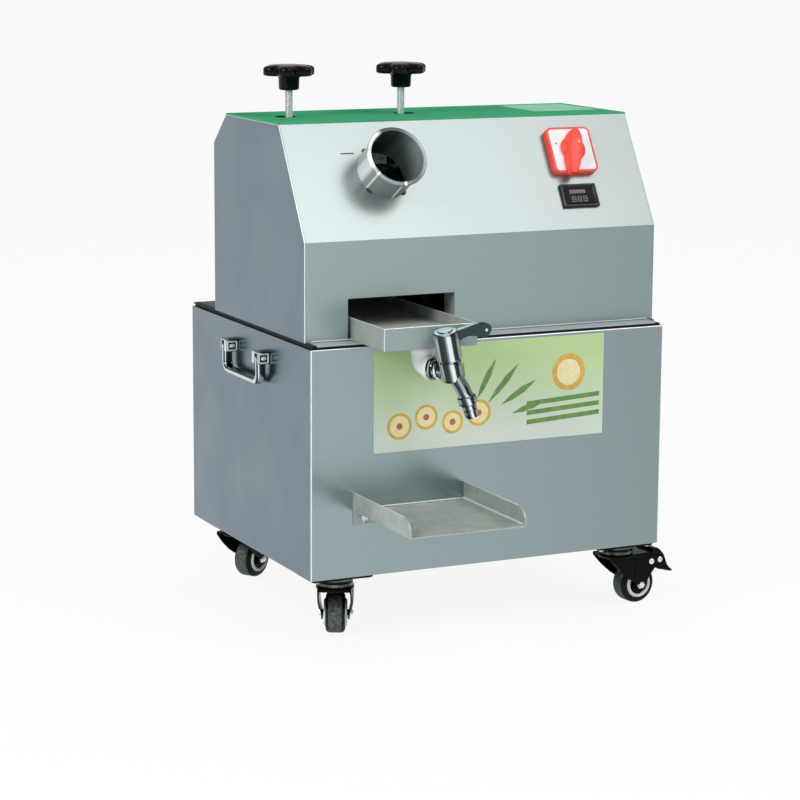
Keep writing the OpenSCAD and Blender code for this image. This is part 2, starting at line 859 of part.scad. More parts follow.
// Rolled tube with a thick lip, set square to the slope
module feed_tube() {
    color("#b9c0c0") on_slope(-press_x, tube_s) difference() {
        union() {
            translate([0, 0, -tube_in]) cylinder(d = tube_d, h = tube_in + tube_out);
            translate([0, 0, tube_out - lip_l]) cylinder(d = lip_d, h = lip_l);
        }
        translate([0, 0, -tube_in - cut])
            cylinder(d = tube_d - 2 * tube_wall, h = tube_in + tube_out + 2 * cut);
    }
}

// Two thick plates with a slot for the bearing block and holes for the lower bushes
module press_frames() {
    color("#6d7476") for (s = [-1, 1]) difference() {
        translate([-press_x + s * plate_mid - frame_t / 2, frame_front, deck_z])
            cube([frame_t, frame_d, frame_h]);
        translate([-press_x + s * plate_mid - frame_t / 2 - cut, press_y - slot_w / 2, block_low - slip])
            cube([frame_t + 2 * cut, slot_w, frame_h]);
        for (y = [front_y, rear_y]) translate([-press_x + s * plate_mid, y, lower_z])
            rod_x(bush_d + 2 * run, -frame_t / 2 - cut, frame_t / 2 + cut);
    }
}

// Three bars that hold the plates apart, clear of the cane's way through
module tie_bars() {
    front = frame_front + tie_d;
    rear = frame_front + frame_d - tie_d;
    low = deck_z + juice_h + 2 * tie_d;
    high = frame_top - tie_d / 2;
    color("#9aa0a2") for (p = [[front, low], [rear, low], [rear, high]])
        translate([-press_x, p[0], p[1]]) rod_x(tie_d, -throat_half, throat_half);
}

// Bridges over the slots, threaded for the press screws
module screw_bridges() {
    w = slot_w + 2 * frame_t;
    color("#565d60") for (s = [-1, 1])
        translate([-press_x + s * screw_pair, press_y, frame_top]) difference() {
            translate([-frame_t / 2, -w / 2, 0]) cube([frame_t, w, bridge_h]);
            translate([0, 0, -cut]) cylinder(d = screw_d + 2 * run, h = bridge_h + 2 * cut);
        }
}

// Bronze bushes of the two lower rollers
module roller_bushes() {
    color("#b08d4a") for (s = [-1, 1], y = [front_y, rear_y])
        translate([-press_x + s * plate_mid, y, lower_z]) difference() {
            rod_x(bush_d, -frame_t / 2, frame_t / 2);
            rod_x(journal_d + 2 * run, -frame_t / 2 - cut, frame_t / 2 + cut);
        }
}

// Open channel that carries the pressed cane out of the back
module bagasse_chute() {
    inside = throat_half - sheet;
    color("#9aa5a6") translate([-press_x, rear_y + roller_d / 2 + chute_gap, lower_z + chute_lift])
        rotate([-chute_a, 0, 0]) difference() {
            translate([-throat_half, 0, 0]) cube([2 * throat_half, chute_l, chute_side]);
            translate([-inside, -cut, sheet]) cube([2 * inside, chute_l + 2 * cut, chute_side]);
        }
}

// Reduction gearbox with a round boss on the output side
module gearbox() {
    color("#6f7678") translate([gearbox_x, rear_y, lower_z]) difference() {
        union() {
            span([0, -gearbox_d / 2, -gearbox_down], [gearbox_w, gearbox_d / 2, gearbox_up / 3]);
            rod_x(2 * gearbox_up, 0, gearbox_w);
        }
        rod_x(shaft_d + 2 * run, -cut, shaft_in + cut);
    }
}

// Round motor on the front of the gearbox, with its end bell
module motor() {
    color("#2b2e31") translate([gearbox_x + gearbox_w / 2, 0, lower_z - motor_drop]) union() {
        rod_y(motor_d, gearbox_front - motor_l + bell_l, gearbox_front);
        rod_y(bell_d, gearbox_front - motor_l, gearbox_front - motor_l + bell_l);
    }
}

// Stand that lifts the gearbox to the roller's height
module motor_bracket() {
    top = lower_z - gearbox_down;
    color("#565d60") difference() {
        span([gearbox_x, gearbox_front, deck_z], [gearbox_x + gearbox_w, gearbox_front + gearbox_d, top]);
        span([gearbox_x + bracket_t, gearbox_front - cut, deck_z - cut],
             [gearbox_x + gearbox_w - bracket_t, gearbox_front + gearbox_d + cut, top - bracket_t]);
    }
}

// A grooved roller with its journals, turned in one profile
module roller(y, z, right_end) {
    half = roller_l / 2;
    groove_p = roller_l / (grooves + 1);
    groove_w = groove_p / 3;
    r = roller_d / 2;
    outline = concat(
        [[0, left_end + press_x], [journal_d / 2, left_end + press_x], [journal_d / 2, -half], [r, -half]],
        [for (i = [1:grooves], p = [[0, -1], [groove_deep, -0.5], [groove_deep, 0.5], [0, 1]])
            [r - p[0], -half + i * groove_p + p[1] * groove_w / 2]],
        [[r, half], [journal_d / 2, half], [journal_d / 2, right_end + press_x], [0, right_end + press_x]]
    );
    translate([-press_x, y, z]) rotate([0, 90, 0]) rotate_extrude() polygon(outline);
}

module roller_upper() {
    color("#aab0b2") roller(press_y, upper_z, gear_end);
}

module roller_front() {
    color("#aab0b2") roller(front_y, lower_z, gear_end);
}

module roller_rear() {
    color("#aab0b2") roller(rear_y, lower_z, coupling_mid);
}

// A spur gear with straight-sided teeth, bored for the roller's journal
module gear(y, z, phase) {
    r = pitch_d / 2;
    tip_r = r + gear_m;
    root_r = r - tooth_root;
    half_at = tooth_share * PI * gear_m / 2;
    tip_a = (half_at - gear_m * tooth_slant) / tip_r * 180 / PI;
    root_a = (half_at + tooth_root * tooth_slant) / root_r * 180 / PI;
    tooth = [[root_r, -root_a], [tip_r, -tip_a], [tip_r, tip_a], [root_r, root_a]];
    teeth = [for (i = [0:gear_n - 1], p = tooth)
        let (a = phase + i * tooth_pitch + p[1]) [p[0] * cos(a), p[0] * sin(a)]];
    translate([0, y, z]) difference() {
        along_x(gear_x, gear_end) polygon(teeth);
        rod_x(journal_d + 2 * run, gear_x - cut, gear_end + cut);
    }
}

module gear_upper() {
    color("#7c8386") gear(press_y, upper_z, upper_phase);
}

module gear_front() {
    color("#7c8386") gear(front_y, lower_z, front_phase);
}

module gear_rear() {
    color("#7c8386") gear(rear_y, lower_z, rear_phase);
}

// Sleeve that joins the rear roller to the gearbox, with the output shaft in it
module drive_coupling() {
    color("#565d60") translate([0, rear_y, lower_z]) union() {
        difference() {
            rod_x(coupling_d, coupling_x, coupling_x + coupling_l);
            rod_x(journal_d + 2 * run, coupling_x - cut, coupling_mid);
        }
        rod_x(shaft_d, coupling_mid + cut, gearbox_x + shaft_in - slip);
    }
}

// Two sliding blocks that carry the upper roller
module bearing_blocks() {
    color("#b08d4a") for (s = [-1, 1]) translate([-press_x + s * plate_mid, press_y, upper_z]) difference() {
        span([-frame_t / 2, -block_w / 2, -block_h / 2], [frame_t / 2, block_w / 2, block_h / 2]);
        rod_x(journal_d + 2 * run, -frame_t / 2 - cut, frame_t / 2 + cut);
    }
}

// A press screw standing on its bearing block
module press_screw(s) {
    color("#c4c9cb") translate([-press_x + s * screw_pair, press_y, block_top])
        cylinder(d = screw_d, h = knob_z + knob_grip - block_top);
}

module press_screw_left() {
    press_screw(-1);
}

module press_screw_right() {
    press_screw(1);
}

// A star knob with round lobes on a plain hub
module knob(s) {
    color("#101113") translate([-press_x + s * screw_pair, press_y, hub_z]) difference() {
        union() {
            cylinder(d = hub_d, h = hub_h + knob_t / 2);
            translate([0, 0, hub_h]) cylinder(d = star_d, h = knob_t);
            for (i = [0:knob_lobes - 1]) rotate([0, 0, (i + 0.5) * 360 / knob_lobes])
                translate([knob_d / 2 - lobe_d / 2, 0, hub_h]) cylinder(d = lobe_d, h = knob_t);
        }
        translate([0, 0, -cut]) cylinder(d = screw_d + 2 * run, h = hub_h + knob_grip + cut);
    }
}

module knob_left() {
    knob(-1);
}

module knob_right() {
    knob(1);
}

// Open tray that catches the juice and slides out of the front
module juice_tray() {
    color("#a9b0b0") translate([juice_x, -juice_out, juice_z]) difference() {
        translate([-juice_w / 2, 0, 0]) cube([juice_w, juice_l, juice_h]);
        translate([-juice_w / 2 + sheet, sheet, juice_floor + sheet])
            cube([juice_w - 2 * sheet, juice_l - 2 * sheet, juice_h]);
        translate([-juice_w / 2 + sheet, sheet, -cut])
            cube([juice_w - 2 * sheet, juice_l - 2 * sheet, juice_floor + cut]);
        translate([0, elbow_back, -cut]) cylinder(d = nipple_d + 2 * run, h = juice_floor + sheet + 2 * cut);
    }
}

// A place at the tap: the elbow's middle, with X the way the tap points
module at_tap() {
    translate([juice_x, elbow_y, tap_z]) rotate([0, 0, tap_turn - 90]) children();
}

// The same place for the tap itself, rolled about its inlet
module rolled_tap() {
    at_tap() rotate([tap_roll, 0, 0]) children();
}

// Where the spout turns down, with Z along its nozzle
module at_knee() {
    translate([valve_reach + spout_knee * cos(spout_a), 0, -spout_knee * sin(spout_a)])
        rotate([0, 90 + spout_a + spout_bend, 0]) children();
}

// White elbow under the tray, with the nipple and head that clamp it to the tray's floor
module tap_elbow() {
    color("#e9ebe8") at_tap() union() {
        sphere(d = elbow_d);
        rod_x(elbow_d, 0, elbow_l);
        cylinder(d = elbow_d, h = tap_drop + juice_floor);
        cylinder(d = nipple_d, h = tap_drop + juice_floor + sheet + nipple_head_t / 2);
        translate([0, 0, tap_drop + juice_floor + sheet]) cylinder(d = nipple_head_d, h = nipple_head_t);
    }
}

// Chrome tap: flange, body, valve and a bent spout with a stepped end
module tap_body() {
    color("#c9ced0") rolled_tap() difference() {
        union() {
            rod_x(tap_flange_d, elbow_l, elbow_l + tap_flange_t);
            rod_x(tap_body_d, elbow_l, valve_reach);
            translate([valve_reach, 0, -valve_down]) cylinder(d = valve_d, h = valve_down + valve_up);
            translate([valve_reach, 0, 0]) rotate([0, 90 + spout_a, 0]) cylinder(d = spout_d, h = spout_knee);
            at_knee() {
                sphere(d = spout_d + 2 * knee_swell);
                cylinder(d = spout_end_d, h = spout_neck);
                translate([0, 0, collar_at]) cylinder(d = collar_d, h = collar_l);
                translate([0, 0, spout_neck - barb_back]) cylinder(d1 = barb_d, d2 = spout_end_d, h = barb_l);
            }
        }
        at_knee() translate([0, 0, collar_at]) cylinder(d = spout_bore, h = spout_l);
    }
}

// Turning cap of the tap with its rising lever
module tap_handle() {
    low = valve_up + slip;
    top = low + cap_h - lever_sink;
    color("#c9ced0") rolled_tap() translate([valve_reach, 0, 0]) rotate([0, 0, 90 - tap_turn]) union() {
        translate([0, 0, low]) cylinder(d = cap_d, h = cap_h);
        translate([0, lever_w / 2, 0]) rotate([90, 0, 0]) linear_extrude(lever_w) polygon([
            [0, top], [lever_l - 2 * lever_r, top], [lever_l, top - lever_r], [lever_l - lever_r, top - lever_end_t],
            [lever_l - 3 * lever_r, top - lever_end_t], [cap_d / 2 + lever_r, top - lever_t], [0, top - lever_t]
        ]);
    }
}

// Red switch housing with a raised rim, and the contact block behind the panel
module switch_frame() {
    inset = switch_side - 2 * switch_rim;
    color("#e8493c") on_slope(switch_x, switch_s) difference() {
        union() {
            round_plate(switch_side, switch_side, switch_r, switch_t);
            translate([0, 0, -sheet - slip]) cylinder(d = switch_neck_d - 2 * run, h = switch_t / 2);
            translate([-switch_body_side / 2, -switch_body_side / 2, -sheet - switch_depth])
                cube([switch_body_side, switch_body_side, switch_depth]);
        }
        translate([0, 0, switch_t - switch_plate_t])
            round_plate(inset, inset, switch_r - switch_rim, switch_plate_t + cut);
        translate([0, 0, -sheet - switch_depth / 2]) cylinder(d = switch_shaft_d + 2 * run, h = switch_depth);
    }
}

// White legend plate, left blank
module switch_plate() {
    side = switch_side - 2 * switch_rim - 2 * run;
    color("#f1f2f2") on_slope(switch_x, switch_s) translate([0, 0, switch_t - switch_plate_t]) difference() {
        round_plate(side, side, switch_r - switch_rim, switch_plate_t);
        translate([0, 0, -cut]) cylinder(d = switch_shaft_d + 2 * run, h = switch_plate_t + 2 * cut);
    }
}

// Turning knob: a round base and a tall grip whose ends fall away
module switch_knob() {
    foot = switch_t + slip;
    shaft_low = slip - sheet - switch_depth / 2;
    color("#ef4436") on_slope(switch_x, switch_s) union() {
        translate([0, 0, foot]) cylinder(d = switch_knob_d, h = switch_foot_t);
        rotate([0, 0, grip_turn]) along_x(-grip_w / 2, grip_w / 2) polygon([
            [-grip_half, foot], [grip_half, foot], [grip_half, foot + grip_shoulder],
            [grip_top_half, foot + switch_grip_h], [-grip_top_half, foot + switch_grip_h],
            [-grip_half, foot + grip_shoulder]
        ]);
        translate([0, 0, shaft_low]) cylinder(d = switch_shaft_d, h = foot + switch_foot_t / 2 - shaft_low);
    }
}

// Black bezel of the battery meter, with its case through the panel
module meter_bezel() {
    color("#15171a") on_slope(meter_x, meter_s) difference() {
        union() {
            translate([-meter_w / 2, -meter_h / 2, 0]) cube([meter_w, meter_h, meter_t]);
            translate([-meter_body_w / 2, -meter_body_h / 2, -sheet - meter_body_d])
                cube([meter_body_w, meter_body_h, sheet + meter_body_d + meter_t / 2]);
        }
        translate([-meter_w / 2 + meter_rim, -meter_h / 2 + meter_rim, meter_t / 2])
            cube([meter_w - 2 * meter_rim, meter_h - 2 * meter_rim, meter_t]);
    }
}

// Dark window in the bezel
module meter_window() {
    color("#2b2830") on_slope(meter_x, meter_s)
        translate([-meter_w / 2 + meter_rim + run, -meter_h / 2 + meter_rim + run, meter_t / 2])
            cube([meter_w - 2 * (meter_rim + run), meter_h - 2 * (meter_rim + run), meter_glass_t]);
}

place() cabinet_shell();
place() cabinet_back();
place() cabinet_floor();
place() cabinet_door();
place() door_latch();
place() caster_plates();
place() caster_fork(0);  // caster_fork_fl
place() caster_fork(1);  // caster_fork_fr
place() caster_fork(2);  // caster_fork_bl
place() caster_fork(3);  // caster_fork_br
place() caster_wheel(0);  // caster_wheel_fl
place() caster_wheel(1);  // caster_wheel_fr
place() caster_wheel(2);  // caster_wheel_bl
place() caster_wheel(3);  // caster_wheel_br
place() brake_pedal(0);  // brake_pedal_fl
place() brake_pedal(1);  // brake_pedal_fr
place() brake_pedal(2);  // brake_pedal_bl
place() brake_pedal(3);  // brake_pedal_br
place() cup_tray();
place() handle_posts();
place() handle_bail(-1);  // handle_bail_left
place() handle_bail(1);  // handle_bail_right
place() battery();
place() deck_seal();
place() deck_plate();
place() head_front();
place() head_side_left();
place() head_side_right();
place() head_back();
place() top_cover();
place() feed_tube();
place() press_frames();
place() tie_bars();
place() screw_bridges();
place() roller_bushes();
place() bagasse_chute();
place() gearbox();
place() motor();
place() motor_bracket();
place() roller_upper();
place() roller_front();
place() roller_rear();
place() gear_upper();
place() gear_front();
place() gear_rear();
place() drive_coupling();
place() bearing_blocks();
place() press_screw_left();
place() press_screw_right();
place() knob_left();
place() knob_right();
place() juice_tray();
place() tap_elbow();
place() tap_body();
place() tap_handle();
place() switch_frame();
place() switch_plate();
place() switch_knob();
place() meter_bezel();
place() meter_window();
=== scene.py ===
import bpy
import bmesh
import json
from math import atan2, cos, pi, radians, sin
from mathutils import Matrix, Vector

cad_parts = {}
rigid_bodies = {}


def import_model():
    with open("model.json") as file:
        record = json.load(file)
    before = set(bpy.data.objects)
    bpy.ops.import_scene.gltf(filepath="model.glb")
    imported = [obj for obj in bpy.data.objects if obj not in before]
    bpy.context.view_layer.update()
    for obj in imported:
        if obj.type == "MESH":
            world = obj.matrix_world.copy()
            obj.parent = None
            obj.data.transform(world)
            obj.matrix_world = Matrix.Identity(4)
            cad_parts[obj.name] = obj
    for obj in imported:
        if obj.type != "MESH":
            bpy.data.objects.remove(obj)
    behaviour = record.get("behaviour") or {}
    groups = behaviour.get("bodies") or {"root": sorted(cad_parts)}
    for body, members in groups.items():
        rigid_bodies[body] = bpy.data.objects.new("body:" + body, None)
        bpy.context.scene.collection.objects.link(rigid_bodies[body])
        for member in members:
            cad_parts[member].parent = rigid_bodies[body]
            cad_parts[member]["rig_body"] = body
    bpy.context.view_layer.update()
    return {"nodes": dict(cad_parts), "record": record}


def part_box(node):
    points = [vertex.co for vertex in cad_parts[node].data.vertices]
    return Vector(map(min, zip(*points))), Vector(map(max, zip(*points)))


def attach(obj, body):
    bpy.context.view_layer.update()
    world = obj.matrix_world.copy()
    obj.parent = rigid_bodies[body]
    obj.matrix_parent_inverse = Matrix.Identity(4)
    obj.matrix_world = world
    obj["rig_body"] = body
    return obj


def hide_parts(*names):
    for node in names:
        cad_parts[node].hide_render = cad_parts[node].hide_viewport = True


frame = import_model()
scene = bpy.context.scene
scene.view_settings.view_transform = "Standard"
nodes = frame["nodes"]
joints = {j["name"]: j for j in frame["record"]["behaviour"]["joints"]}
slotOf = {s["node"]: s["material_slot"] for s in frame["record"]["subparts"]}
sides = ("left", "right")
cabinetLow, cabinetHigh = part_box("cabinet_shell")
frontFoot = Vector(((cabinetLow.x + cabinetHigh.x) / 2, cabinetLow.y, cabinetLow.z))
atFoot = Matrix.Translation(frontFoot)
alongX, alongY = Vector((1, 0, 0)), Vector((0, 1, 0))
print("frame loaded:", len(nodes), "nodes")


def mm(value):
    return value / 1000


# a place in millimetres from the middle of the cabinet's front lower edge
def cab(x, y, z):
    return frontFoot + Vector((mm(x), mm(y), mm(z)))


def fromCab(point):
    return (point - frontFoot) * 1000


def shift(x, y, z):
    return Matrix.Translation((mm(x), mm(y), mm(z)))


def above(point, z=0):
    return Matrix.Translation((point.x, point.y, z))


def rotated(degrees, axis):
    return Matrix.Rotation(radians(degrees), 4, axis)


def jointAt(name):
    return Vector(joints[name]["pos_m"])


# camera, set to the photograph's fitted view
shot = {"place": (-1508.9, -2870.87, 823.19), "yaw": 25.67, "pitch": 10.71, "roll": 0.36, "lens": 117.24,
        "sensor": 36, "clipEnd": 200}


def placeCamera():
    yaw, pitch, roll = (radians(shot[k]) for k in ("yaw", "pitch", "roll"))
    forward = Vector((sin(yaw) * cos(pitch), cos(yaw) * cos(pitch), -sin(pitch)))
    right = Vector((cos(yaw), -sin(yaw), 0))
    up = right.cross(forward)
    turnedRight = right * cos(roll) + up * sin(roll)
    turnedUp = up * cos(roll) - right * sin(roll)
    data = bpy.data.cameras.new("camera")
    data.lens = shot["lens"]
    data.sensor_width = shot["sensor"]
    data.clip_end = shot["clipEnd"]
    camera = bpy.data.objects.new("camera", data)
    camera.matrix_world = Matrix.Translation(cab(*shot["place"])) @ Matrix(
        (turnedRight, turnedUp, -forward)).transposed().to_4x4()
    scene.collection.objects.link(camera)
    scene.camera = camera


placeCamera()
print("camera set")


# materials
def linear(hexText):
    parts = [int(hexText[i:i + 2], 16) / 255 for i in (1, 3, 5)]
    return [c / 12.92 if c <= 0.04045 else ((c + 0.055) / 1.055) ** 2.4 for c in parts] + [1.0]


def addNode(tree, kind, inputs=None, **settings):
    node = tree.nodes.new("ShaderNode" + kind)
    for key, value in settings.items():
        setattr(node, key, value)
    for key, value in (inputs or {}).items():
        if isinstance(value, bpy.types.NodeSocket):
            tree.links.new(value, node.inputs[key])
        else:
            node.inputs[key].default_value = linear(value) if isinstance(value, str) else value
    return node


def startMaterial(name, sockets):
    material = bpy.data.materials.new(name)
    material.use_nodes = True
    shader = material.node_tree.nodes["Principled BSDF"]
    for key, value in sockets.items():
        shader.inputs[key].default_value = value
    return material, material.node_tree


def wire(material, sockets):
    tree = material.node_tree
    for key, value in sockets.items():
        tree.links.new(value, tree.nodes["Principled BSDF"].inputs[key])
    return material


def objectCoords(tree):
    return addNode(tree, "TexCoord").outputs["Object"]


def split(tree, vector):
    return addNode(tree, "SeparateXYZ", {0: vector}).outputs


def calc(tree, operation, *values, **settings):
    return addNode(tree, "Math", dict(enumerate(values)), operation=operation, **settings).outputs[0]


# noise with features of about this many millimetres
def noise(tree, coords, sizeMm, detail, **more):
    return addNode(tree, "TexNoise", {"Vector": coords, "Scale": 1000 / sizeMm, "Detail": detail, **more}).outputs[0]


def remap(tree, value, low, high, toLow=0.0, toHigh=1.0):
    return addNode(tree, "MapRange", {0: value, 1: low, 2: high, 3: toLow, 4: toHigh}).outputs[0]


def mixColor(tree, factor, low, high, blend="MIX"):
    return addNode(tree, "Mix", {0: factor, 6: low, 7: high}, data_type="RGBA", blend_type=blend).outputs[2]


def bumped(tree, height, strength):
    return addNode(tree, "Bump", {"Strength": strength, "Distance": mm(0.2), "Height": height}).outputs[0]


# a ramp over values from low to high, whose first two stops are its ends
def colorRamp(tree, value, stops, low, high):
    node = addNode(tree, "ValToRGB", {0: value})
    elements = node.color_ramp.elements
    for k, (at, hexText) in enumerate(stops):
        spot = (at - low) / (high - low)
        stop = elements[k] if k < 2 else elements.new(spot)
        stop.position = spot
        stop.color = linear(hexText)
    return node.outputs[0]


# satin sheet steel: rolled and wiped, so it mirrors softly, with a fine pickled speckle and broad cloudy tints;
# faces turned forward and faces turned up each take their own tone of painted light, set apart from the sides as the
# lamps would light them, and a painted-light fade brings a panel's front from a brighter left end to a duller right end
def satinSteel(name, base, cloud, roughness, front=None, slope=None, cloudMm=70, speckle=0.05, metal=1.0, fade=0.0):
    material, tree = startMaterial(name, {"Metallic": metal})
    coords = objectCoords(tree)
    specks = noise(tree, coords, 1.6, 2.0, Roughness=0.6)
    stretched = addNode(tree, "Mapping", {"Vector": coords, "Scale": (1, 1, 0.06)}).outputs[0]
    lines = noise(tree, stretched, 1.2, 2.0)
    tint = mixColor(tree, remap(tree, noise(tree, coords, cloudMm, 3.0), 0.35, 0.65), base, cloud)
    normal = split(tree, addNode(tree, "NewGeometry").outputs["Normal"])
    # painted light: the fronts are brightened at the left end and dulled at the right
    level = remap(tree, split(tree, coords)[0], mm(-250), mm(250), 1 + fade, 1 - fade)
    # painted light: forward-facing and up-facing faces get their own tones, standing in for how the lamps fall
    for tone, toward, least, most in ((front, normal[1], -0.35, -0.85), (slope, normal[2], 0.2, 0.45)):
        if tone:
            faded = mixColor(tree, 1.0, tone, level, "MULTIPLY")
            tint = mixColor(tree, remap(tree, toward, least, most), tint, faded)
    shade = remap(tree, specks, 0.3, 0.7, 1 - speckle, 1 + speckle)
    return wire(material, {"Base Color": mixColor(tree, 1.0, tint, shade, "MULTIPLY"),
                           "Roughness": remap(tree, lines, 0.3, 0.7, roughness - 0.01, roughness + 0.01),
                           "Normal": bumped(tree, specks, 0.03)})


# moulded or painted finish: even colour with a slight bloom, fine orange peel and dust
def mouldedFinish(name, base, shade, roughness, peelMm=1.5, bump=0.05, cloudMm=18, gloss=0.5):
    material, tree = startMaterial(name, {"IOR": 1.5, "Specular IOR Level": gloss})
    coords = objectCoords(tree)
    clouds = noise(tree, coords, cloudMm, 4.0)
    return wire(material, {"Base Color": mixColor(tree, remap(tree, clouds, 0.35, 0.7), base, shade),
                           "Roughness": remap(tree, clouds, 0.3, 0.7, roughness * 0.8, roughness * 1.2),
                           "Normal": bumped(tree, noise(tree, coords, peelMm, 1.0), bump)})


# plated or turned metal: bright, with faint wear that dulls it in patches
def platedMetal(name, base, dull, roughness, wearMm=9, bump=0.03):
    material, tree = startMaterial(name, {"Metallic": 1.0})
    wear = noise(tree, objectCoords(tree), wearMm, 5.0, Roughness=0.6)
    return wire(material, {"Base Color": mixColor(tree, remap(tree, wear, 0.4, 0.7), base, dull),
                           "Roughness": remap(tree, wear, 0.3, 0.75, roughness, roughness * 2.2),
                           "Normal": bumped(tree, wear, bump)})


# mirror chrome with painted reflections: dark and bright bands are painted into its colour by which way each face turns
def bandedChrome(name, bands, roughness):
    material, tree = startMaterial(name, {"Metallic": 1.0})
    normal = addNode(tree, "NewGeometry").outputs["Normal"]
    # painted reflection: the face's direction picks its colour from the bands
    aside = addNode(tree, "VectorMath", {0: normal, 1: (0.85, -0.4, 0.35)}, operation="DOT_PRODUCT")
    share = remap(tree, aside.outputs["Value"], -1.0, 1.0)
    wear = noise(tree, objectCoords(tree), 9, 5.0)
    return wire(material, {"Base Color": colorRamp(tree, share, bands, -1, 1),
                           "Roughness": remap(tree, wear, 0.3, 0.75, roughness, roughness * 2)})


# painted reflections for the chrome: colour bands over face direction, dark and bright
chromeBands = ((-1.0, "#39444a"), (1.0, "#59656a"), (-0.88, "#dfe6e8"), (-0.72, "#b5bfc2"), (-0.6, "#2b3437"),
               (-0.2, "#3d494e"), (-0.05, "#9aa5a7"), (0.06, "#f4f7f7"), (0.3, "#e3eaea"), (0.35, "#3c494d"),
               (0.62, "#1f2729"), (0.8, "#9aa5a7"))
finish = {
    # painted light: the front, slope and fade settings below give forward-facing and up-facing faces their own lit
    # tones and brighten the fronts at the left
    "cabinet_steel": satinSteel("satinSheetSteelSides", "#6f7d89", "#77868f", 0.26, front="#94a3a5", fade=0.11),
    "front_steel": satinSteel("satinSheetSteelFront", "#97a6a7", "#90a0a1", 0.30, front="#95a4a5", slope="#929a99",
                              metal=0.6, fade=0.13),
    "tray_steel": satinSteel("satinSheetSteelTrays", "#b1b8b5", "#a0a5a0", 0.38, front="#99a6a7", cloudMm=24,
                             speckle=0.12, metal=0.35),
    "tube_steel": satinSteel("satinTubeSteel", "#c3caca", "#aab2b3", 0.3, cloudMm=30, metal=0.6),
    "green_cover": mouldedFinish("greenFilm", "#45a273", "#4ba97a", 0.3, bump=0.01, gloss=0.0),
    "caster_black": mouldedFinish("blackEnamel", "#020303", "#060708", 0.22, bump=0.08, gloss=0.08),
    "wheel_rubber": mouldedFinish("blackRubber", "#070808", "#131616", 0.5, peelMm=0.8, bump=0.2, cloudMm=7,
                                  gloss=0.14),
    "chrome": bandedChrome("chromePaintedReflections", chromeBands, 0.07),
    "zinc": platedMetal("brightZinc", "#eef1f2", "#ccd2d4", 0.3, wearMm=4),
    "knob_black": mouldedFinish("blackBakelite", "#020203", "#050606", 0.12, gloss=0.16),
    "elbow_white": mouldedFinish("whiteNylon", "#f6f6f4", "#e9e9e6", 0.35),
    "switch_red": mouldedFinish("redAbs", "#f2473a", "#f65a4c", 0.34, gloss=0.3),
    "switch_white": mouldedFinish("whiteAbs", "#eef0f2", "#e6e8ea", 0.4),
    "meter_black": mouldedFinish("blackAbs", "#040506", "#090b0c", 0.3, bump=0.1, gloss=0.3),
    "meter_glass": mouldedFinish("smokedWindow", "#0b090e", "#110e14", 0.2, bump=0.0, gloss=0.06),
    "press_iron": platedMetal("oiledIron", "#4a4f51", "#33383a", 0.36, wearMm=5, bump=0.15),
    "roller_steel": platedMetal("turnedSteel", "#b2b8ba", "#989ea0", 0.26),
    "bronze": platedMetal("castBronze", "#b8955a", "#96753f", 0.32),
    "motor_paint": mouldedFinish("motorPaint", "#25282b", "#2f3336", 0.4),
    "battery_case": mouldedFinish("batteryCase", "#32363b", "#3d4146", 0.45),
    "seal_rubber": mouldedFinish("sealStrip", "#0b0d0e", "#141718", 0.6, bump=0.15, gloss=0.2),
}
# finishes of the small parts that share a slot with a larger one
# bright steel used as a painted highlight on folds, inner corners, the head's foot and the lug frames
foldSteel = satinSteel("foldHighlightSteel", "#f4f7f6", "#e3e8e8", 0.3, cloudMm=6, metal=0.45)
# painted light: the juice tray's fronts and its up-facing floor take their own lit tones, the floor a pale tan
juiceSteel = satinSteel("satinJuiceTraySteel", "#a9b0ac", "#9aa09b", 0.36, front="#98a5a6", slope="#dadcd5", cloudMm=24,
                        speckle=0.1, metal=0.25)
ringWhite = mouldedFinish("whiteWheelRing", "#e9ecec", "#d6dada", 0.35, cloudMm=6)
treadGrey = mouldedFinish("wornTread", "#262c2b", "#6b7471", 0.7, peelMm=1.2, bump=0.3, cloudMm=4)
# black used for printed marks, and also as the painted shade of the slope's slit
markInk = mouldedFinish("blackPrintAndPaintedShade", "#16181b", "#202226", 0.5)
pointerPink = mouldedFinish("paleInlay", "#f6c3b6", "#f2b4a6", 0.4)
barPlum = mouldedFinish("unlitBar", "#5f4a57", "#6b5563", 0.4, cloudMm=3)
digitGrey = mouldedFinish("unlitDigit", "#6b6871", "#78757e", 0.4, cloudMm=3)
# painted shade: the ball race steel is darkened for the shade between plate and crown
raceSteel = platedMetal("raceSteelPaintedShade", "#6f787a", "#22282a", 0.24, wearMm=7)
weldBrown = platedMetal("burntWeld", "#6d5a44", "#35322f", 0.38, wearMm=2, bump=0.4)


# the ledge in front of the head is pale and satin; the deck behind it, under the head, is darker with painted shade,
# and the narrow margins beside the head are painted dark as shade
def ledgeSteel():
    material, tree = startMaterial("ledgeSteel", {"Roughness": 0.5, "Specular IOR Level": 0.1})
    coords = objectCoords(tree)
    at = split(tree, addNode(tree, "Mapping", {"Vector": coords, "Location": -frontFoot}).outputs[0])
    # painted shade: dark margins at the head's sides, and a darker deck under the head
    margin = remap(tree, calc(tree, "ABSOLUTE", at[0]), mm(240.5), mm(242))
    behind = remap(tree, at[1], mm(30), mm(34))
    pale = mixColor(tree, noise(tree, coords, 8, 4.0), "#9aa5a5", "#adb6b5")
    dull = mixColor(tree, behind, pale, "#5c666b")
    return wire(material, {"Base Color": mixColor(tree, margin, dull, "#1b2124")})


deckFinish = ledgeSteel()
for name, piece in nodes.items():
    for place in piece.material_slots:
        place.material = finish[slotOf[name]]
print("materials made:", len(bpy.data.materials))


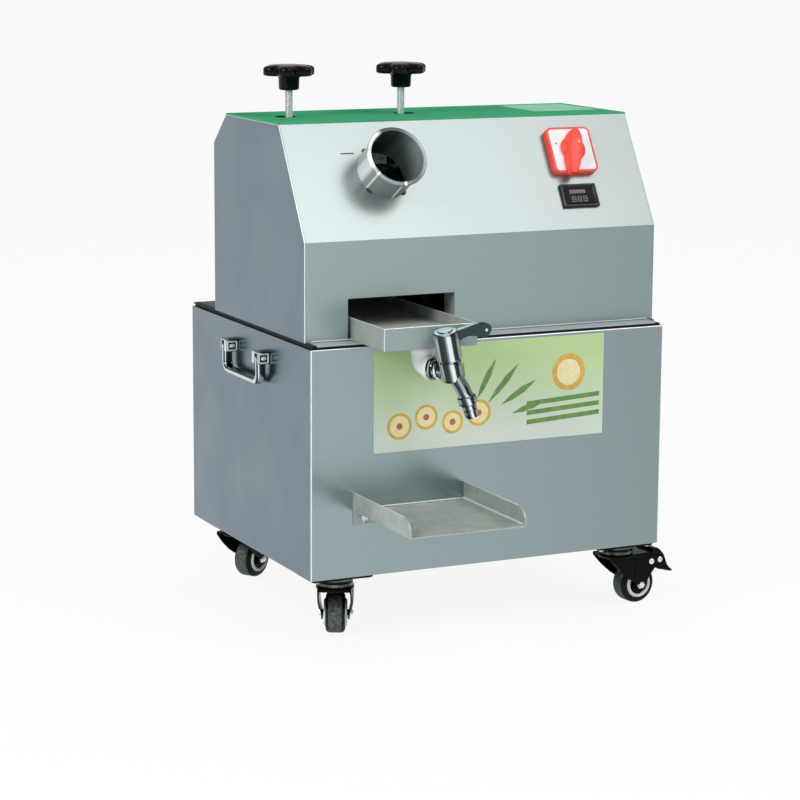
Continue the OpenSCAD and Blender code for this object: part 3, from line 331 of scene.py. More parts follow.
# making pieces: each rides with the node that it goes with or stands for, or else on the machine
def closePiece(name, bm, slot, rides=None, stands=None, material=None, angle=35, recalc=True):
    bmesh.ops.remove_doubles(bm, verts=bm.verts, dist=mm(0.001))
    if recalc:
        bmesh.ops.recalc_face_normals(bm, faces=bm.faces)
    mesh = bpy.data.meshes.new(name)
    bm.to_mesh(mesh)
    bm.free()
    mesh.polygons.foreach_set("use_smooth", [True] * len(mesh.polygons))
    mesh.set_sharp_from_angle(angle=radians(angle))
    mesh.materials.append(material or finish[slot])
    piece = bpy.data.objects.new(name, mesh)
    scene.collection.objects.link(piece)
    node = stands or rides
    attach(piece, nodes[node]["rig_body"] if node else "machine")
    if stands:
        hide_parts(stands)
    return piece


def addRim(piece, width, segments=2, angle=40):
    rim = piece.modifiers.new("rim", "BEVEL")
    rim.width = mm(width)
    rim.segments = segments
    rim.limit_method = "ANGLE"
    rim.angle_limit = radians(angle)
    rim.use_clamp_overlap = False
    rim.harden_normals = True


def roundEdges(bm, edges, width, segments):
    return bmesh.ops.bevel(bm, geom=edges, offset=mm(width), affect="EDGES", segments=segments, profile=0.5,
                           material=-1, clamp_overlap=True)


# flat sheet stays flat beside a rounded fold when the line between them is sharp
def keepFlat(mesh):
    finishes = {}
    for face in mesh.polygons:
        for key in face.edge_keys:
            finishes.setdefault(key, set()).add(face.material_index)
    for edge in mesh.edges:
        if len(finishes[edge.key]) > 1:
            edge.use_edge_sharp = True


# a copy of a CAD piece whose sharp edges are broken as on the real one, and whose folds carry a painted highlight in
# bright steel
def softCopy(node, width, segments=2, folds=None, foldRadius=0, material=None, shape=None):
    bm = bmesh.new()
    bm.from_mesh(nodes[node].data)
    bmesh.ops.remove_doubles(bm, verts=bm.verts, dist=mm(0.002))
    bmesh.ops.dissolve_limit(bm, angle_limit=radians(0.5), verts=bm.verts, edges=bm.edges)
    if shape:
        shape(bm)
    if folds:
        sharp = [e for e in bm.edges if len(e.link_faces) == 2 and e.calc_face_angle(0) > radians(20)]
        chosen = [e for e in sharp if folds(*[fromCab(v.co) for v in e.verts])]
        # painted highlight: the rounded folds take the bright steel
        for face in roundEdges(bm, chosen, foldRadius, 4)["faces"]:
            face.material_index = 1
    piece = closePiece(node + "Skin", bm, slotOf[node], stands=node, material=material, angle=25, recalc=False)
    if folds:
        piece.data.materials.append(foldSteel)
        keepFlat(piece.data)
    addRim(piece, width, segments)


# spins a profile of (radius, height) points in millimetres about Z
def revolve(bm, profile, closed=False, steps=64, at=Matrix()):
    ring = [bm.verts.new((mm(r), 0, mm(h))) for r, h in profile]
    lines = [bm.edges.new(pair) for pair in zip(ring, ring[1:])]
    if closed:
        lines.append(bm.edges.new((ring[-1], ring[0])))
    spun = bmesh.ops.spin(bm, geom=ring + lines, cent=(0, 0, 0), axis=(0, 0, 1), angle=2 * pi, steps=steps,
                          use_merge=True)
    made = {v for v in ring if v.is_valid} | {g for g in spun["geom_last"] if isinstance(g, bmesh.types.BMVert)}
    grown = set(made)
    while made:
        made = {e.other_vert(v) for v in made for e in v.link_edges} - grown
        grown |= made
    bmesh.ops.transform(bm, matrix=at, verts=list(grown))


# axes with Z along a direction and X along side
def facing(origin, direction, side=alongX):
    zAxis = direction.normalized()
    yAxis = zAxis.cross(side).normalized()
    return Matrix.Translation(origin) @ Matrix((yAxis.cross(zAxis), yAxis, zAxis)).transposed().to_4x4()


def ringAt(bm, outline, matrix):
    verts = [bm.verts.new(matrix @ Vector((mm(a), mm(b), 0))) for a, b in outline]
    return [bm.edges.new(pair) for pair in zip(verts, verts[1:] + verts[:1])]


def loft(bm, rings):
    for low, high in zip(rings, rings[1:]):
        bmesh.ops.bridge_loops(bm, edges=low + high)
    for end in (rings[0], rings[-1]):
        bmesh.ops.edgeloop_fill(bm, edges=end)


def prism(bm, outline, low, high, matrix=Matrix()):
    loft(bm, [ringAt(bm, outline, matrix @ shift(0, 0, h)) for h in (low, high)])


# carries an outline along a flat path whose plane is square to across
def sweep(bm, path, outline, across):
    rings = []
    for k, point in enumerate(path):
        ahead = path[min(k + 1, len(path) - 1)] - path[max(k - 1, 0)]
        rings.append(ringAt(bm, outline, facing(point, ahead, across)))
    loft(bm, rings)


def circle(radius, steps, x=0, y=0):
    turns = [2 * pi * k / steps for k in range(steps)]
    return [(x + radius * cos(a), y + radius * sin(a)) for a in turns]


# half a profile above the middle, with its mirror image below
def mirrored(half):
    return [(a, -b) for a, b in half] + list(half[::-1])


def roundedBox(width, height, radius, steps):
    points = []
    for turn, (sx, sy) in enumerate(((1, 1), (-1, 1), (-1, -1), (1, -1))):
        for k in range(steps + 1):
            a = pi / 2 * (turn + k / steps)
            points.append((sx * (width / 2 - radius) + radius * cos(a), sy * (height / 2 - radius) + radius * sin(a)))
    return points


def block(bm, low, high, matrix=Matrix(), edge=0):
    low, high = Vector(low), Vector(high)
    made = bmesh.ops.create_cube(bm, size=1, matrix=matrix @ Matrix.Translation((low + high) / 2000)
                                 @ Matrix.Diagonal([*((high - low) / 1000), 1]))
    if edge:
        roundEdges(bm, list({e for v in made["verts"] for e in v.link_edges}), edge, 2)


def dome(bm, radius, height, matrix, foot=1.0):
    shares = ((0, 1), (0.45, 0.93), (0.75, 0.7), (0.95, 0.35), (1, 0))
    profile = [(radius * a, height * b) for a, b in shares] + [(radius, -foot), (0, -foot)]
    revolve(bm, profile, steps=20, at=matrix)


# slope axes: X right, Y up the slope, Z out of it
slope = {"lean": 30.41, "creaseY": 24, "creaseZ": 420}


def slopeAt(x, s):
    lean = radians(slope["lean"])
    return facing(cab(x, slope["creaseY"] + s * sin(lean), slope["creaseZ"] + s * cos(lean)),
                  Vector((0, -cos(lean), sin(lean))))


# the tube stands a little left of the CAD's place for it in the photograph, so its hole in the copied panel goes along
tubeHole = {"cad": (-116, 92), "r": 35.55, "near": 0.4, "seen": (-119.5, 91)}


def shiftTubeHole(bm):
    (x, s), (seenX, seenS) = tubeHole["cad"], tubeHole["seen"]
    place = slopeAt(x, s)
    back = place.inverted()
    rim = [v for v in bm.verts if abs((back @ v.co).to_2d().length * 1000 - tubeHole["r"]) < tubeHole["near"]]
    bmesh.ops.translate(bm, vec=place.to_3x3() @ Vector((mm(seenX - x), mm(seenS - s), 0)), verts=rim)


# the deck plate's right front corner is cut off at a slant
deckCut = {"at": (239, 1.5, 297), "outward": (20.5, -9.5, 0)}


def cutDeckCorner(bm):
    cut = bmesh.ops.bisect_plane(bm, geom=bm.verts[:] + bm.edges[:] + bm.faces[:], plane_co=cab(*deckCut["at"]),
                                 plane_no=deckCut["outward"], clear_outer=True)
    bmesh.ops.edgeloop_fill(bm, edges=[g for g in cut["geom_cut"] if isinstance(g, bmesh.types.BMEdge)])


# sheet steel work
softCopy("cabinet_shell", 0.4, foldRadius=1.2, folds=lambda a, b: (abs(a.z - b.z) > 100 and a.y < 0.1)
         or (min(a.z, b.z) > 290.9 and abs(a.x - b.x) > 300 and max(a.y, b.y) < 2))
softCopy("head_front", 0.35, foldRadius=1.2, folds=lambda a, b: abs(a.x - b.x) > 100 and min(a.z, b.z) > 557,
         shape=shiftTubeHole)
for side in sides:
    softCopy("head_side_" + side, 0.3, foldRadius=0.9,
             folds=lambda a, b: min(abs(a.x), abs(b.x)) > 247.9 and max(a.z, b.z) > 300)
for sheetNode in ("cabinet_back", "cabinet_door", "head_back", "top_cover", "deck_seal", "bagasse_chute"):
    softCopy(sheetNode, 0.3)
softCopy("deck_plate", 0.5, segments=3, material=deckFinish, shape=cutDeckCorner)
softCopy("juice_tray", 0.35, foldRadius=0.6, material=juiceSteel,
         folds=lambda a, b: min(a.z, b.z) > 320 or (a.y < -60 and b.y < -60 and abs(a.z - b.z) > 10 and a.x < -170))
softCopy("cup_tray", 0.35, foldRadius=0.6, folds=lambda a, b: max(a.y, b.y) < -1 and min(a.z, b.z) > 86.9)
softCopy("caster_plates", 0.4)
softCopy("door_latch", 0.8)
softCopy("switch_plate", 0.2)
softCopy("switch_frame", 1.0, segments=3)
print("sheet work rounded")

# painted highlights in bright steel along the cup tray's inner corners and rim edges, its two bolt heads, and a painted
# highlight line at the head's foot
cupTray = {"left": -192, "right": -39, "front": -160, "floor": 88.2, "bead": 1.5, "backBead": 1.05,
           "rimFront": -145, "rimW": 1.5, "bolts": (-178.5, -52.5), "boltY": -4.4, "boltZ": 76.5}
footLine = {"low": (-239, 22.9, 297), "high": (239, 24.3, 298.2)}


def makeTrayTrim():
    left, right, front, z = (cupTray[k] for k in ("left", "right", "front", "floor"))
    bm = bmesh.new()
    sweep(bm, [cab(right - 0.5, y, z) for y in (front, -1.8)], circle(cupTray["bead"], 10), alongX)
    sweep(bm, [cab(x, -1.9, z) for x in (left + 1, right - 1)], circle(cupTray["backBead"], 10), alongY)
    top = above(frontFoot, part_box("cup_tray")[1].z)
    for low in (left - cupTray["rimW"], right):
        block(bm, (low, cupTray["rimFront"], -0.3), (low + cupTray["rimW"], -1, 0.1), top, edge=0.1)
    closePiece("cupTrayCorners", bm, "tray_steel", rides="cup_tray", material=foldSteel)
    bm = bmesh.new()
    for x in cupTray["bolts"]:
        dome(bm, 4.6, 2.2, facing(cab(x, cupTray["boltY"], cupTray["boltZ"]), -alongY), foot=0.6)
    closePiece("cupTrayBolts", bm, "zinc", rides="cup_tray")
    bm = bmesh.new()
    block(bm, footLine["low"], footLine["high"], atFoot, edge=0.3)
    closePiece("headFootHighlight", bm, "front_steel", material=foldSteel)


makeTrayTrim()

# star knobs, their threaded screws and dark rings of painted shade inside the holes that these go through
knob = {"hubD": 27, "hubH": 18, "starD": 69, "lobes": 6, "waist": 0.74, "turn": -61, "steps": 120, "power": 0.6,
            "layers": ((0.90, 0, 1), (0.985, 1.2, 1), (1.0, 3.2, 1), (1.0, 8.6, 1), (0.975, 10.6, 1),
                       (0.90, 12.2, 0.95), (0.72, 13.4, 0.75), (0.45, 14.1, 0.3), (0.2, 14.4, 0))}
screw = {"d": 10, "pitch": 1.5, "depth": 0.8, "holeR": 14, "holeOut": 5}


def makeKnob(side):
    spot = jointAt("screw_turn_" + side)
    place = above(spot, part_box("knob_" + side)[0].z)
    rings = []
    bm = bmesh.new()
    for share, height, lobed in knob["layers"]:
        outline = []
        for k in range(knob["steps"]):
            angle = 2 * pi * k / knob["steps"]
            lobe = (0.5 + 0.5 * cos(knob["lobes"] * (angle - radians(knob["turn"])))) ** knob["power"]
            reach = knob["starD"] / 2 * share * (1 - (1 - knob["waist"]) * (1 - lobe) * lobed)
            outline.append((reach * cos(angle), reach * sin(angle)))
        rings.append(ringAt(bm, outline, place @ shift(0, 0, knob["hubH"] + height)))
    loft(bm, rings)
    r, h = knob["hubD"] / 2, knob["hubH"]
    revolve(bm, [(5.2, 0.4), (r - 2.5, 0), (r - 1, 0.8), (r - 0.4, 2.5), (r, h - 3), (r + 2.5, h),
                 (r + 2.5, h + 3)], at=place)
    closePiece("starKnob_" + side, bm, "knob_black", stands="knob_" + side, angle=50)


def makeScrew(side):
    low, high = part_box("press_screw_" + side)
    spot = jointAt("screw_turn_" + side)
    length, r, pitch = (high.z - low.z) * 1000, screw["d"] / 2, screw["pitch"]
    root = r - screw["depth"]
    profile = [(0, 0), (root, 0)]
    at = 0
    while at + pitch < length:
        profile += [(r, at + pitch * 0.5), (root, at + pitch)]
        at += pitch
    profile += [(root, length), (0, length)]
    bm = bmesh.new()
    revolve(bm, profile, steps=24, at=above(spot, low.z))
    closePiece("threadedScrew_" + side, bm, "zinc", stands="press_screw_" + side, angle=70)


def makeHoleLiner(side):
    low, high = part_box("top_cover")
    spot = jointAt("screw_turn_" + side)
    r, deep = screw["holeR"], (high.z - low.z) * 1000
    aside = screw["holeOut"] * (-1 if side == "left" else 1)
    bm = bmesh.new()
    revolve(bm, [(r - 0.5, -deep), (r + 0.1, -deep), (r + 0.1, 0.05), (r - 0.2, 0.15), (r - 0.5, 0.05)],
            closed=True, steps=40, at=above(spot, high.z) @ shift(aside, 0, 0))
    # painted shade: a dark ring stands in for the shade inside the cover's hole
    closePiece("holeShade_" + side, bm, "seal_rubber")


for side in sides:
    makeKnob(side)
    makeScrew(side)
    makeHoleLiner(side)
print("knobs and screws made")

# feed tube: rolled, seamed inside, lipped at the mouth and tacked to the slope, with a thin slit beside it drawn as a
# dark block of painted shade
feedTube = {"out": 45, "in": 18, "r": 36, "bore": 34.4, "lipR": 40, "lipL": 4, "seamTurn": 46,
            "tacks": ((223, 9), (303, 8), (126, 6)), "slit": (-164, 117.5, 18, 1.6),
            # painted highlights and painted shade: colour stops by angle around the tube
            "streaks": ((-180, "#eef2f2"), (180, "#eef2f2"), (-164, "#f6f8f8"), (-156, "#a4adad"), (-147, "#9aa4a4"),
                        (-145.5, "#f4f7f7"), (-143.5, "#f4f7f7"), (-141, "#8b9595"), (-110, "#7f8a8a"),
                        (-89, "#78827f"), (-87, "#eef2f2"), (-84, "#eef2f2"), (-82, "#6d7776"), (-57, "#59625f"),
                        (-30, "#868f8f"), (20, "#8f9999"), (50, "#6d7676"), (72, "#363d3d"), (112, "#2a3131"),
                        (124, "#c9d0d0"), (150, "#c9d0d0"), (166, "#b4bcbc"), (174, "#eef2f2"))}


# tube steel with painted reflections: bright and dark bands are painted down its length by the angle around the tube,
# as painted highlights and painted shade
def streakedSteel(name, place, streaks):
    material, tree = startMaterial(name, {"Metallic": 0.3, "Roughness": 0.32})
    coords = objectCoords(tree)
    back = place.inverted()
    local = addNode(tree, "Mapping", {"Vector": coords, "Location": back.to_translation(), "Rotation": back.to_euler()})
    at = split(tree, local.outputs[0])
    share = remap(tree, calc(tree, "ARCTAN2", at[1], at[0]), -pi, pi)
    shade = remap(tree, noise(tree, coords, 1.6, 2.0), 0.3, 0.7, 0.94, 1.06)
    color = colorRamp(tree, share, streaks, -180, 180)
    return wire(material, {"Base Color": mixColor(tree, 1.0, color, shade, "MULTIPLY")})


def makeTube():
    r, bore, lip, out, deep = (feedTube[k] for k in ("r", "bore", "lipR", "out", "in"))
    place = slopeAt(*tubeHole["seen"])
    edge = out - feedTube["lipL"]
    bm = bmesh.new()
    revolve(bm, [(bore, -deep), (r, -deep), (r, edge - 0.6), (r + 0.5, edge), (lip - 0.4, edge + 0.4),
                 (lip, edge + 1.2), (lip, out - 1.4), (lip - 0.4, out - 0.5), (lip - 1.1, out), (bore + 1.0, out),
                 (bore + 0.3, out - 0.3), (bore, out - 1.0)], closed=True, steps=96, at=place)
    block(bm, (bore - 0.45, -0.8, -16), (bore + 0.45, 0.8, 40), place @ rotated(feedTube["seamTurn"], "Z"), edge=0.3)
    # the tube's colour is painted reflection, by angle around its axis
    rolled = streakedSteel("tubeSteelPaintedReflections", place, feedTube["streaks"])
    closePiece("feedTubeRolled", bm, "tube_steel", stands="feed_tube", material=rolled)
    bm = bmesh.new()
    for angle, span in feedTube["tacks"]:
        foot = place @ rotated(angle, "Z") @ shift(r + 0.6, 0, 0.4)
        dome(bm, 2.2, 1.5, foot @ Matrix.Diagonal((1, span / 4.4, 1, 1)))
    closePiece("tubeTackWelds", bm, "tube_steel", material=weldBrown)
    bm = bmesh.new()
    # painted shade: the slit is a dark block laid on the slope
    x, s, long, tall = feedTube["slit"]
    block(bm, (-long / 2, -tall / 2, -0.3), (long / 2, tall / 2, 0.08), slopeAt(x, s))
    closePiece("slopeSlitShade", bm, "seal_rubber", material=markInk)


makeTube()
print("feed tube made")

# cam switch knob: a round foot and a lens-shaped grip with a pale pointer, and one printed dot on its plate
grip = {"x": 149, "s": 107, "foot": 10.3, "footR": 17.2, "up": 26.5, "down": 38.5, "width": 8.4, "height": 14,
              "drop": 3, "turn": -16, "slices": 12, "tips": (2.0, 3.0), "dot": (-21.6, 8.8, 1.2), "dotZ": 10,
              "pointer": (2.9, 6)}


def gripTop(t):
    return grip["foot"] + grip["height"] - grip["drop"] * abs(t) ** 2.2


def makeSwitch():
    place = slopeAt(grip["x"], grip["s"])
    turned = place @ rotated(grip["turn"], "Z")
    foot, r = grip["foot"], grip["footR"]
    bm = bmesh.new()
    revolve(bm, [(0, -20), (4, -20), (4, foot), (r - 1.2, foot), (r, foot + 1), (r, foot + 3.2),
                 (r - 1.6, foot + 5), (r - 6, foot + 6.4), (r - 12, foot + 7), (0, foot + 7.2)], at=place)
    rings = []
    for k in range(-grip["slices"], grip["slices"] + 1):
        t = k / grip["slices"]
        along = t * (grip["up"] if t > 0 else grip["down"])
        tip = grip["tips"][0 if t > 0 else 1]
        w = tip + (grip["width"] - tip) * (1 - abs(t) ** 2.6) ** 0.8
        low = w + 0.8 + 3.4 * (1 - t * t) ** 0.6
        top = gripTop(t)
        outline = [(-low, foot + 0.4), (-w, top - 1.6), (-w + 0.5, top - 0.6), (-w + 1.5, top - 0.1), (w - 1.5, top),
                   (w - 0.5, top - 0.5), (w, top - 1.6), (low, foot + 0.4)]
        rings.append(ringAt(bm, outline, turned @ shift(0, along, 0) @ rotated(90, "X")))
    loft(bm, rings)
    closePiece("switchGrip", bm, "switch_red", stands="switch_knob", angle=38)
    bm = bmesh.new()
    x, y = grip["pointer"]
    rise = gripTop(y / grip["up"])
    prism(bm, [(x - 2.2, y - 2), (x + 2.2, y - 2), (x, y + 3)], rise - 1.5, rise + 0.12, turned)
    closePiece("switchPointer", bm, "switch_white", rides="switch_knob", material=pointerPink)
    bm = bmesh.new()
    x, y, size = grip["dot"]
    dome(bm, size, 0.12, place @ shift(x, y, grip["dotZ"]), foot=0.1)
    closePiece("switchDot", bm, "switch_white", material=markInk)


makeSwitch()

# battery meter: bevelled bezel, sunk window with an unlit bar and three unlit figures
meter = {"x": 147, "s": 45, "w": 52, "h": 32, "t": 5, "case": (45, 26, 14), "floor": 2.6, "bars": 10,
         "bar": (-14, 2.9, 23.4, 5.2), "figures": (-12.3, -4, 4.3), "figure": (5.8, 7.6, 0.9), "figureY": -8.8}


def makeMeter():
    place = slopeAt(meter["x"], meter["s"])
    w, h, t, floor = (meter[k] for k in ("w", "h", "t", "floor"))
    bm = bmesh.new()
    layers = ((0, 0), (0, t - 1.4), (2, t - 0.2), (6, t), (7, t - 0.5), (11, floor))
    loft(bm, [ringAt(bm, roundedBox(w - inset, h - inset, 1.2 if inset < 6 else 0.6, 3), place @ shift(0, 0, z))
              for inset, z in layers])
    cw, ch, cd = meter["case"]
    block(bm, (-cw / 2, -ch / 2, -cd - 1.5), (cw / 2, ch / 2, 0.5), place, edge=0.6)
    closePiece("meterBezel", bm, "meter_black", stands="meter_bezel", angle=30)
    bm = bmesh.new()
    prism(bm, roundedBox(w - 11.2, h - 11.2, 0.6, 3), floor, floor + 0.3, place)
    closePiece("meterPane", bm, "meter_glass", stands="meter_window")
    bm = bmesh.new()
    base, top = floor + 0.2, floor + 0.45
    x, y, long, tall = meter["bar"]
    step = long / meter["bars"]
    for k in range(meter["bars"]):
        block(bm, (x + step * k + 0.15, y, base), (x + step * (k + 1), y + tall, top), place)
    closePiece("meterBar", bm, "meter_glass", material=barPlum)
    bm = bmesh.new()
    wide, high, line = meter["figure"]
    low = meter["figureY"]
    for x in meter["figures"]:
        for y in (low, low + high / 2 - line / 2, low + high - line):
            block(bm, (x, y, base), (x + wide, y + line, top), place)
        for dx in (0, wide - line):
            block(bm, (x + dx, low, base), (x + dx + line, low + high, top - 0.01), place)
    closePiece("meterFigures", bm, "meter_glass", material=digitGrey)


makeMeter()
print("switch and meter made")

# tap: white elbow under the tray, chrome valve with a kneed spout, and a turning cap with a paddle lever
tap = {"elbow": (-122, -46, 270.3), "turn": 25, "roll": 14, "reach": 46, "up": 37, "elbowR": 13.2, "bend": 14,
       "end": 17, "spoutA": 58, "spoutR": 9.2, "knee": 32, "kneeBend": 22, "kneeStep": 4.4, "capLow": 15.3,
       "capTop": 36}
lever = {"outline": ((4, -2.6), (20, -1.9), (35, -1.6), (46, -2.3), (53, -3.9), (58, -6.2), (61, -9.5), (60.6, -14),
                     (58, -18.6), (53.5, -21.6), (48, -21.4), (41, -18.4), (33, -15.2), (25, -13.6), (18, -14.6),
                     (14, -17), (4, -17)),
         "middle": (34, -11), "half": 4.6, "pinAt": (53, -13),
         "layers": ((-1, 1.2), (-0.8, 0.3), (-0.4, 0), (0.4, 0), (0.8, 0.3), (1, 1.2))}
elbowFrame = Matrix.Translation(cab(*tap["elbow"])) @ rotated(tap["turn"] - 90, "Z")
tapFrame = elbowFrame @ rotated(tap["roll"], "X")
valveFrame = tapFrame @ shift(tap["reach"], 0, 0)
zToX = rotated(90, "Y")


def makeElbow():
    bend, up, end = tap["bend"], tap["up"], tap["end"]
    path = [(0, up), (0, bend + 4)]
    path += [(bend - bend * cos(k * pi / 16), bend - bend * sin(k * pi / 16)) for k in range(9)] + [(end, 0)]
    bm = bmesh.new()
    sweep(bm, [elbowFrame @ Vector((mm(a), 0, mm(b))) for a, b in path], circle(tap["elbowR"], 40),
          elbowFrame.to_3x3() @ alongY)
    revolve(bm, [(12, 17), (14.2, 17), (15, 18), (15, 24.5), (14.4, 25.4), (12, 25.4)], closed=True,
            at=elbowFrame)
    revolve(bm, [(11, 10.5), (14.6, 10.5), (15.2, 11.3), (15.2, 15.8), (14.6, 16.7), (11, 16.7)], closed=True,
            at=elbowFrame @ zToX)
    revolve(bm, [(6, up - 1), (10, up - 1), (10, up + 1.5), (15, up + 1.5), (15, up + 4.6), (14.2, up + 5.4),
                 (6, up + 5.4)], closed=True, at=elbowFrame, steps=6)
    closePiece("elbowMoulded", bm, "elbow_white", stands="tap_elbow", angle=40)


def makeTapBody():
    a, b = radians(tap["spoutA"]), radians(tap["spoutA"] + tap["kneeBend"])
    bm = bmesh.new()
    revolve(bm, [(0, 17.2), (14.2, 17.2), (15, 18), (15, 20.8), (14.2, 21.8), (12, 22), (11.6, 23.4), (12.8, 24.4),
                 (12.8, 27.6), (11.6, 28.8), (10, 29.4), (10, 44), (0, 44)], at=tapFrame @ zToX)
    revolve(bm, [(0, -13), (10.5, -13), (12.8, -12), (14, -9.8), (14, 12), (13.4, 13.2), (12.6, 13.6), (12.6, 14.9),
                 (0, 14.9)], at=valveFrame)
    down = Vector((cos(a), 0, -sin(a)))
    path = [down * mm(d) for d in (2, 10, 18, 24)]
    for k in (1, 2, 3):
        lean = a + (b - a) * k / 4
        path.append(path[-1] + Vector((cos(lean), 0, -sin(lean))) * mm(tap["kneeStep"]))
    sweep(bm, [valveFrame @ p for p in path], circle(tap["spoutR"], 32), valveFrame.to_3x3() @ alongY)
    nozzle = valveFrame @ Matrix.Translation(down * mm(tap["knee"])) @ Matrix.Rotation(pi / 2 + b, 4, "Y")
    revolve(bm, [(5.5, 1), (9.2, 1), (9.3, 3.6), (10.6, 4.2), (11.6, 5), (11.8, 6), (11.8, 13), (11.2, 14),
                 (9.6, 14.4), (8.2, 14.6), (8.2, 15.4), (9, 16), (8.9, 20.6), (8, 21.2), (7.7, 22), (8.6, 22.6),
                 (8.3, 29.6), (7.6, 31.4), (6.9, 32), (5.7, 32), (5.5, 31.6)], closed=True, at=nozzle)
    closePiece("tapValve", bm, "chrome", stands="tap_body", angle=32)


def makeTapHandle():
    bm = bmesh.new()
    revolve(bm, [(0, 0), (14.8, 0), (15.7, 0.9), (16, 2), (16, 33), (15.3, 35), (13.8, 36.1), (9.6, 36.3),
                 (9.2, 37.1), (8.4, 37.6), (0, 37.8)], at=valveFrame @ shift(0, 0, tap["capLow"]))
    along = valveFrame @ rotated(90 - tap["turn"], "Z") @ rotated(90, "X") @ shift(0, tap["capLow"] + tap["capTop"], 0)
    middle = Vector(lever["middle"])
    rings = []
    for out, inset in lever["layers"]:
        outline = [Vector(p) + (middle - Vector(p)).normalized() * inset for p in lever["outline"]]
        rings.append(ringAt(bm, outline, along @ shift(0, 0, out * lever["half"])))
    loft(bm, rings)
    closePiece("tapLever", bm, "chrome", stands="tap_handle", angle=30)
    bm = bmesh.new()
    x, z = lever["pinAt"]
    for turn in (0, 180):
        dome(bm, 2.0, 0.9, along @ shift(x, z, 0) @ rotated(turn, "X") @ shift(0, 0, lever["half"] - 0.1))
    closePiece("leverPin", bm, "zinc", rides="tap_handle")


makeElbow()
makeTapBody()
makeTapHandle()
print("tap made")

# swinging side handles in clevis lugs, each lug with a frame and a small dome on its front in bright steel as painted
# highlight
handle = {"half": 56, "drop": 30, "corner": 11, "w": 13, "t": 8, "eyeR": 6.5, "out": 16, "lugW": 9, "cheek": 3.2,
          "slip": 0.3, "wall": 250, "lugLow": -6.4, "lugHigh": 8.4, "cap": (7.2, 9.4), "pinR": 2.9, "frameZ": 1.2}


def makeHandle(side):
    sign = -1 if side == "left" else 1
    pivot = jointAt("handle_swing_" + side)
    half, drop, c = handle["half"], handle["drop"], handle["corner"]
    arc = [(half - c + c * sin(k * pi / 12), -drop + c - c * cos(k * pi / 12)) for k in range(7)]
    path = [(-y, z) for y, z in [(half, 0)] + arc[::-1]] + arc + [(half, 0)]
    bm = bmesh.new()
    bar = roundedBox(handle["w"], handle["t"], 3.4, 5)
    sweep(bm, [pivot + Vector((0, mm(y), mm(z))) for y, z in path], bar, alongX)
    r, t = handle["eyeR"], handle["t"] / 2
    for y in (-half, half):
        revolve(bm, mirrored(((0, t), (r - 1.6, t), (r - 0.4, t - 0.8), (r, t - 2))), steps=32,
                at=facing(pivot + Vector((0, mm(y), 0)), alongY))
    closePiece("bail_" + side, bm, "chrome", stands="handle_bail_" + side, angle=40)
    bm = bmesh.new()
    inner, outer = half - t - handle["slip"], half + t + handle["slip"]
    first, last = inner - handle["lugW"], outer + handle["cheek"]
    place = Matrix.Translation((frontFoot.x + sign * mm(handle["wall"]), pivot.y, pivot.z))
    xs = sorted((0, sign * handle["out"]))
    for end in (-1, 1):
        for near, far in ((first, inner), (outer, last)):
            ys = sorted((end * near, end * far))
            block(bm, (xs[0], ys[0], handle["lugLow"]), (xs[1], ys[1], handle["lugHigh"]), place)
        ys = sorted((end * first, end * last))
        block(bm, (xs[0], ys[0], handle["cap"][0]), (xs[1], ys[1], handle["cap"][1]), place, edge=0.7)
        pin = handle["pinR"]
        revolve(bm, [(0, 0), (pin, 0), (pin, outer - inner + 2), (0, outer - inner + 2)], steps=20,
                at=facing(pivot + Vector((0, mm(end * (inner - 1)), 0)), alongY * end))
    posts = "handle_posts" if side == "left" else None
    addRim(closePiece("handleLugs_" + side, bm, "chrome", stands=posts, angle=40), 0.9, 3, 50)
    bm = bmesh.new()
    # painted highlight: bright steel frames and domes on the lug fronts
    spans = (handle["out"], handle["lugHigh"] - handle["lugLow"])
    for ahead in (-last, first):
        middle = Vector((mm(sign * handle["out"] / 2), mm(ahead), mm(handle["frameZ"])))
        front = facing(place @ middle, -alongY)
        for k in range(4):
            long, reach = spans[k % 2] / 2 - 1.4, spans[1 - k % 2] / 2 - 1.9
            block(bm, (-long, reach - 1, -0.4), (long, reach + 1, 0.8), front @ rotated(90 * k, "Z"), edge=0.7)
        dome(bm, 2.6, 1.2, front @ Matrix.Diagonal((1.5, 1, 1, 1)))
    closePiece("lugFrames_" + side, bm, "chrome", material=foldSteel)


for side in sides:
    makeHandle(side)
print("handles made")

# swivel casters, in u along the trail, v across it and z from the floor
caster = {"trail": 29, "axleZ": 26, "pedalU": 43, "pedalZ": 57, "pedalHalf": 18.6, "rivetU": 59, "crownZ": 69.7,
          "pinTop": 83.4, "plateZ": 82, "bolts": (34, 20), "sheet": 2.2, "ridgeU": 18.6,
          "ridge": (66, 60, 54, 48, 42, 37, 33), "slices": (20, 24, 28, 32, 36, 40, 44, 48, 52, 58, 64),
          "crown": ((-22, 21.4), (-4, 22.6), (20, 22.4), (41, 20.6)),
          "leg": ((-22, 69.7), (-22, 65), (-9, 51), (5, 38.5), (13, 33), (19.5, 30), (20.5, 22), (25, 17.6), (31, 17.2),
                  (36.5, 19.8), (39, 25), (39, 31), (41, 36), (44, 41), (48.5, 47), (51.5, 54), (51, 60), (47, 66),
                  (41, 69.7)),
          "pedal": ((-5, -6), (-6, 0), (-2.5, 6.5), (3, 12), (6.5, 16), (12, 16.4), (17, 13), (23, 6), (26.5, -3),
                    (29, -9), (33, -13.5), (37.4, -16.4), (36, -18.4), (30, -17.4), (22, -15), (14, -13.2), (8, -9.5),
                    (2, -7.4))}


# the legs bow out above the axle and draw in again towards the crown
def legHalf(z):
    share = min(max((z - caster["axleZ"]) / 24, 0), 1)
    return 18.2 + 3.8 * sin(share * pi / 2) - max(z - 60, 0) * 0.12


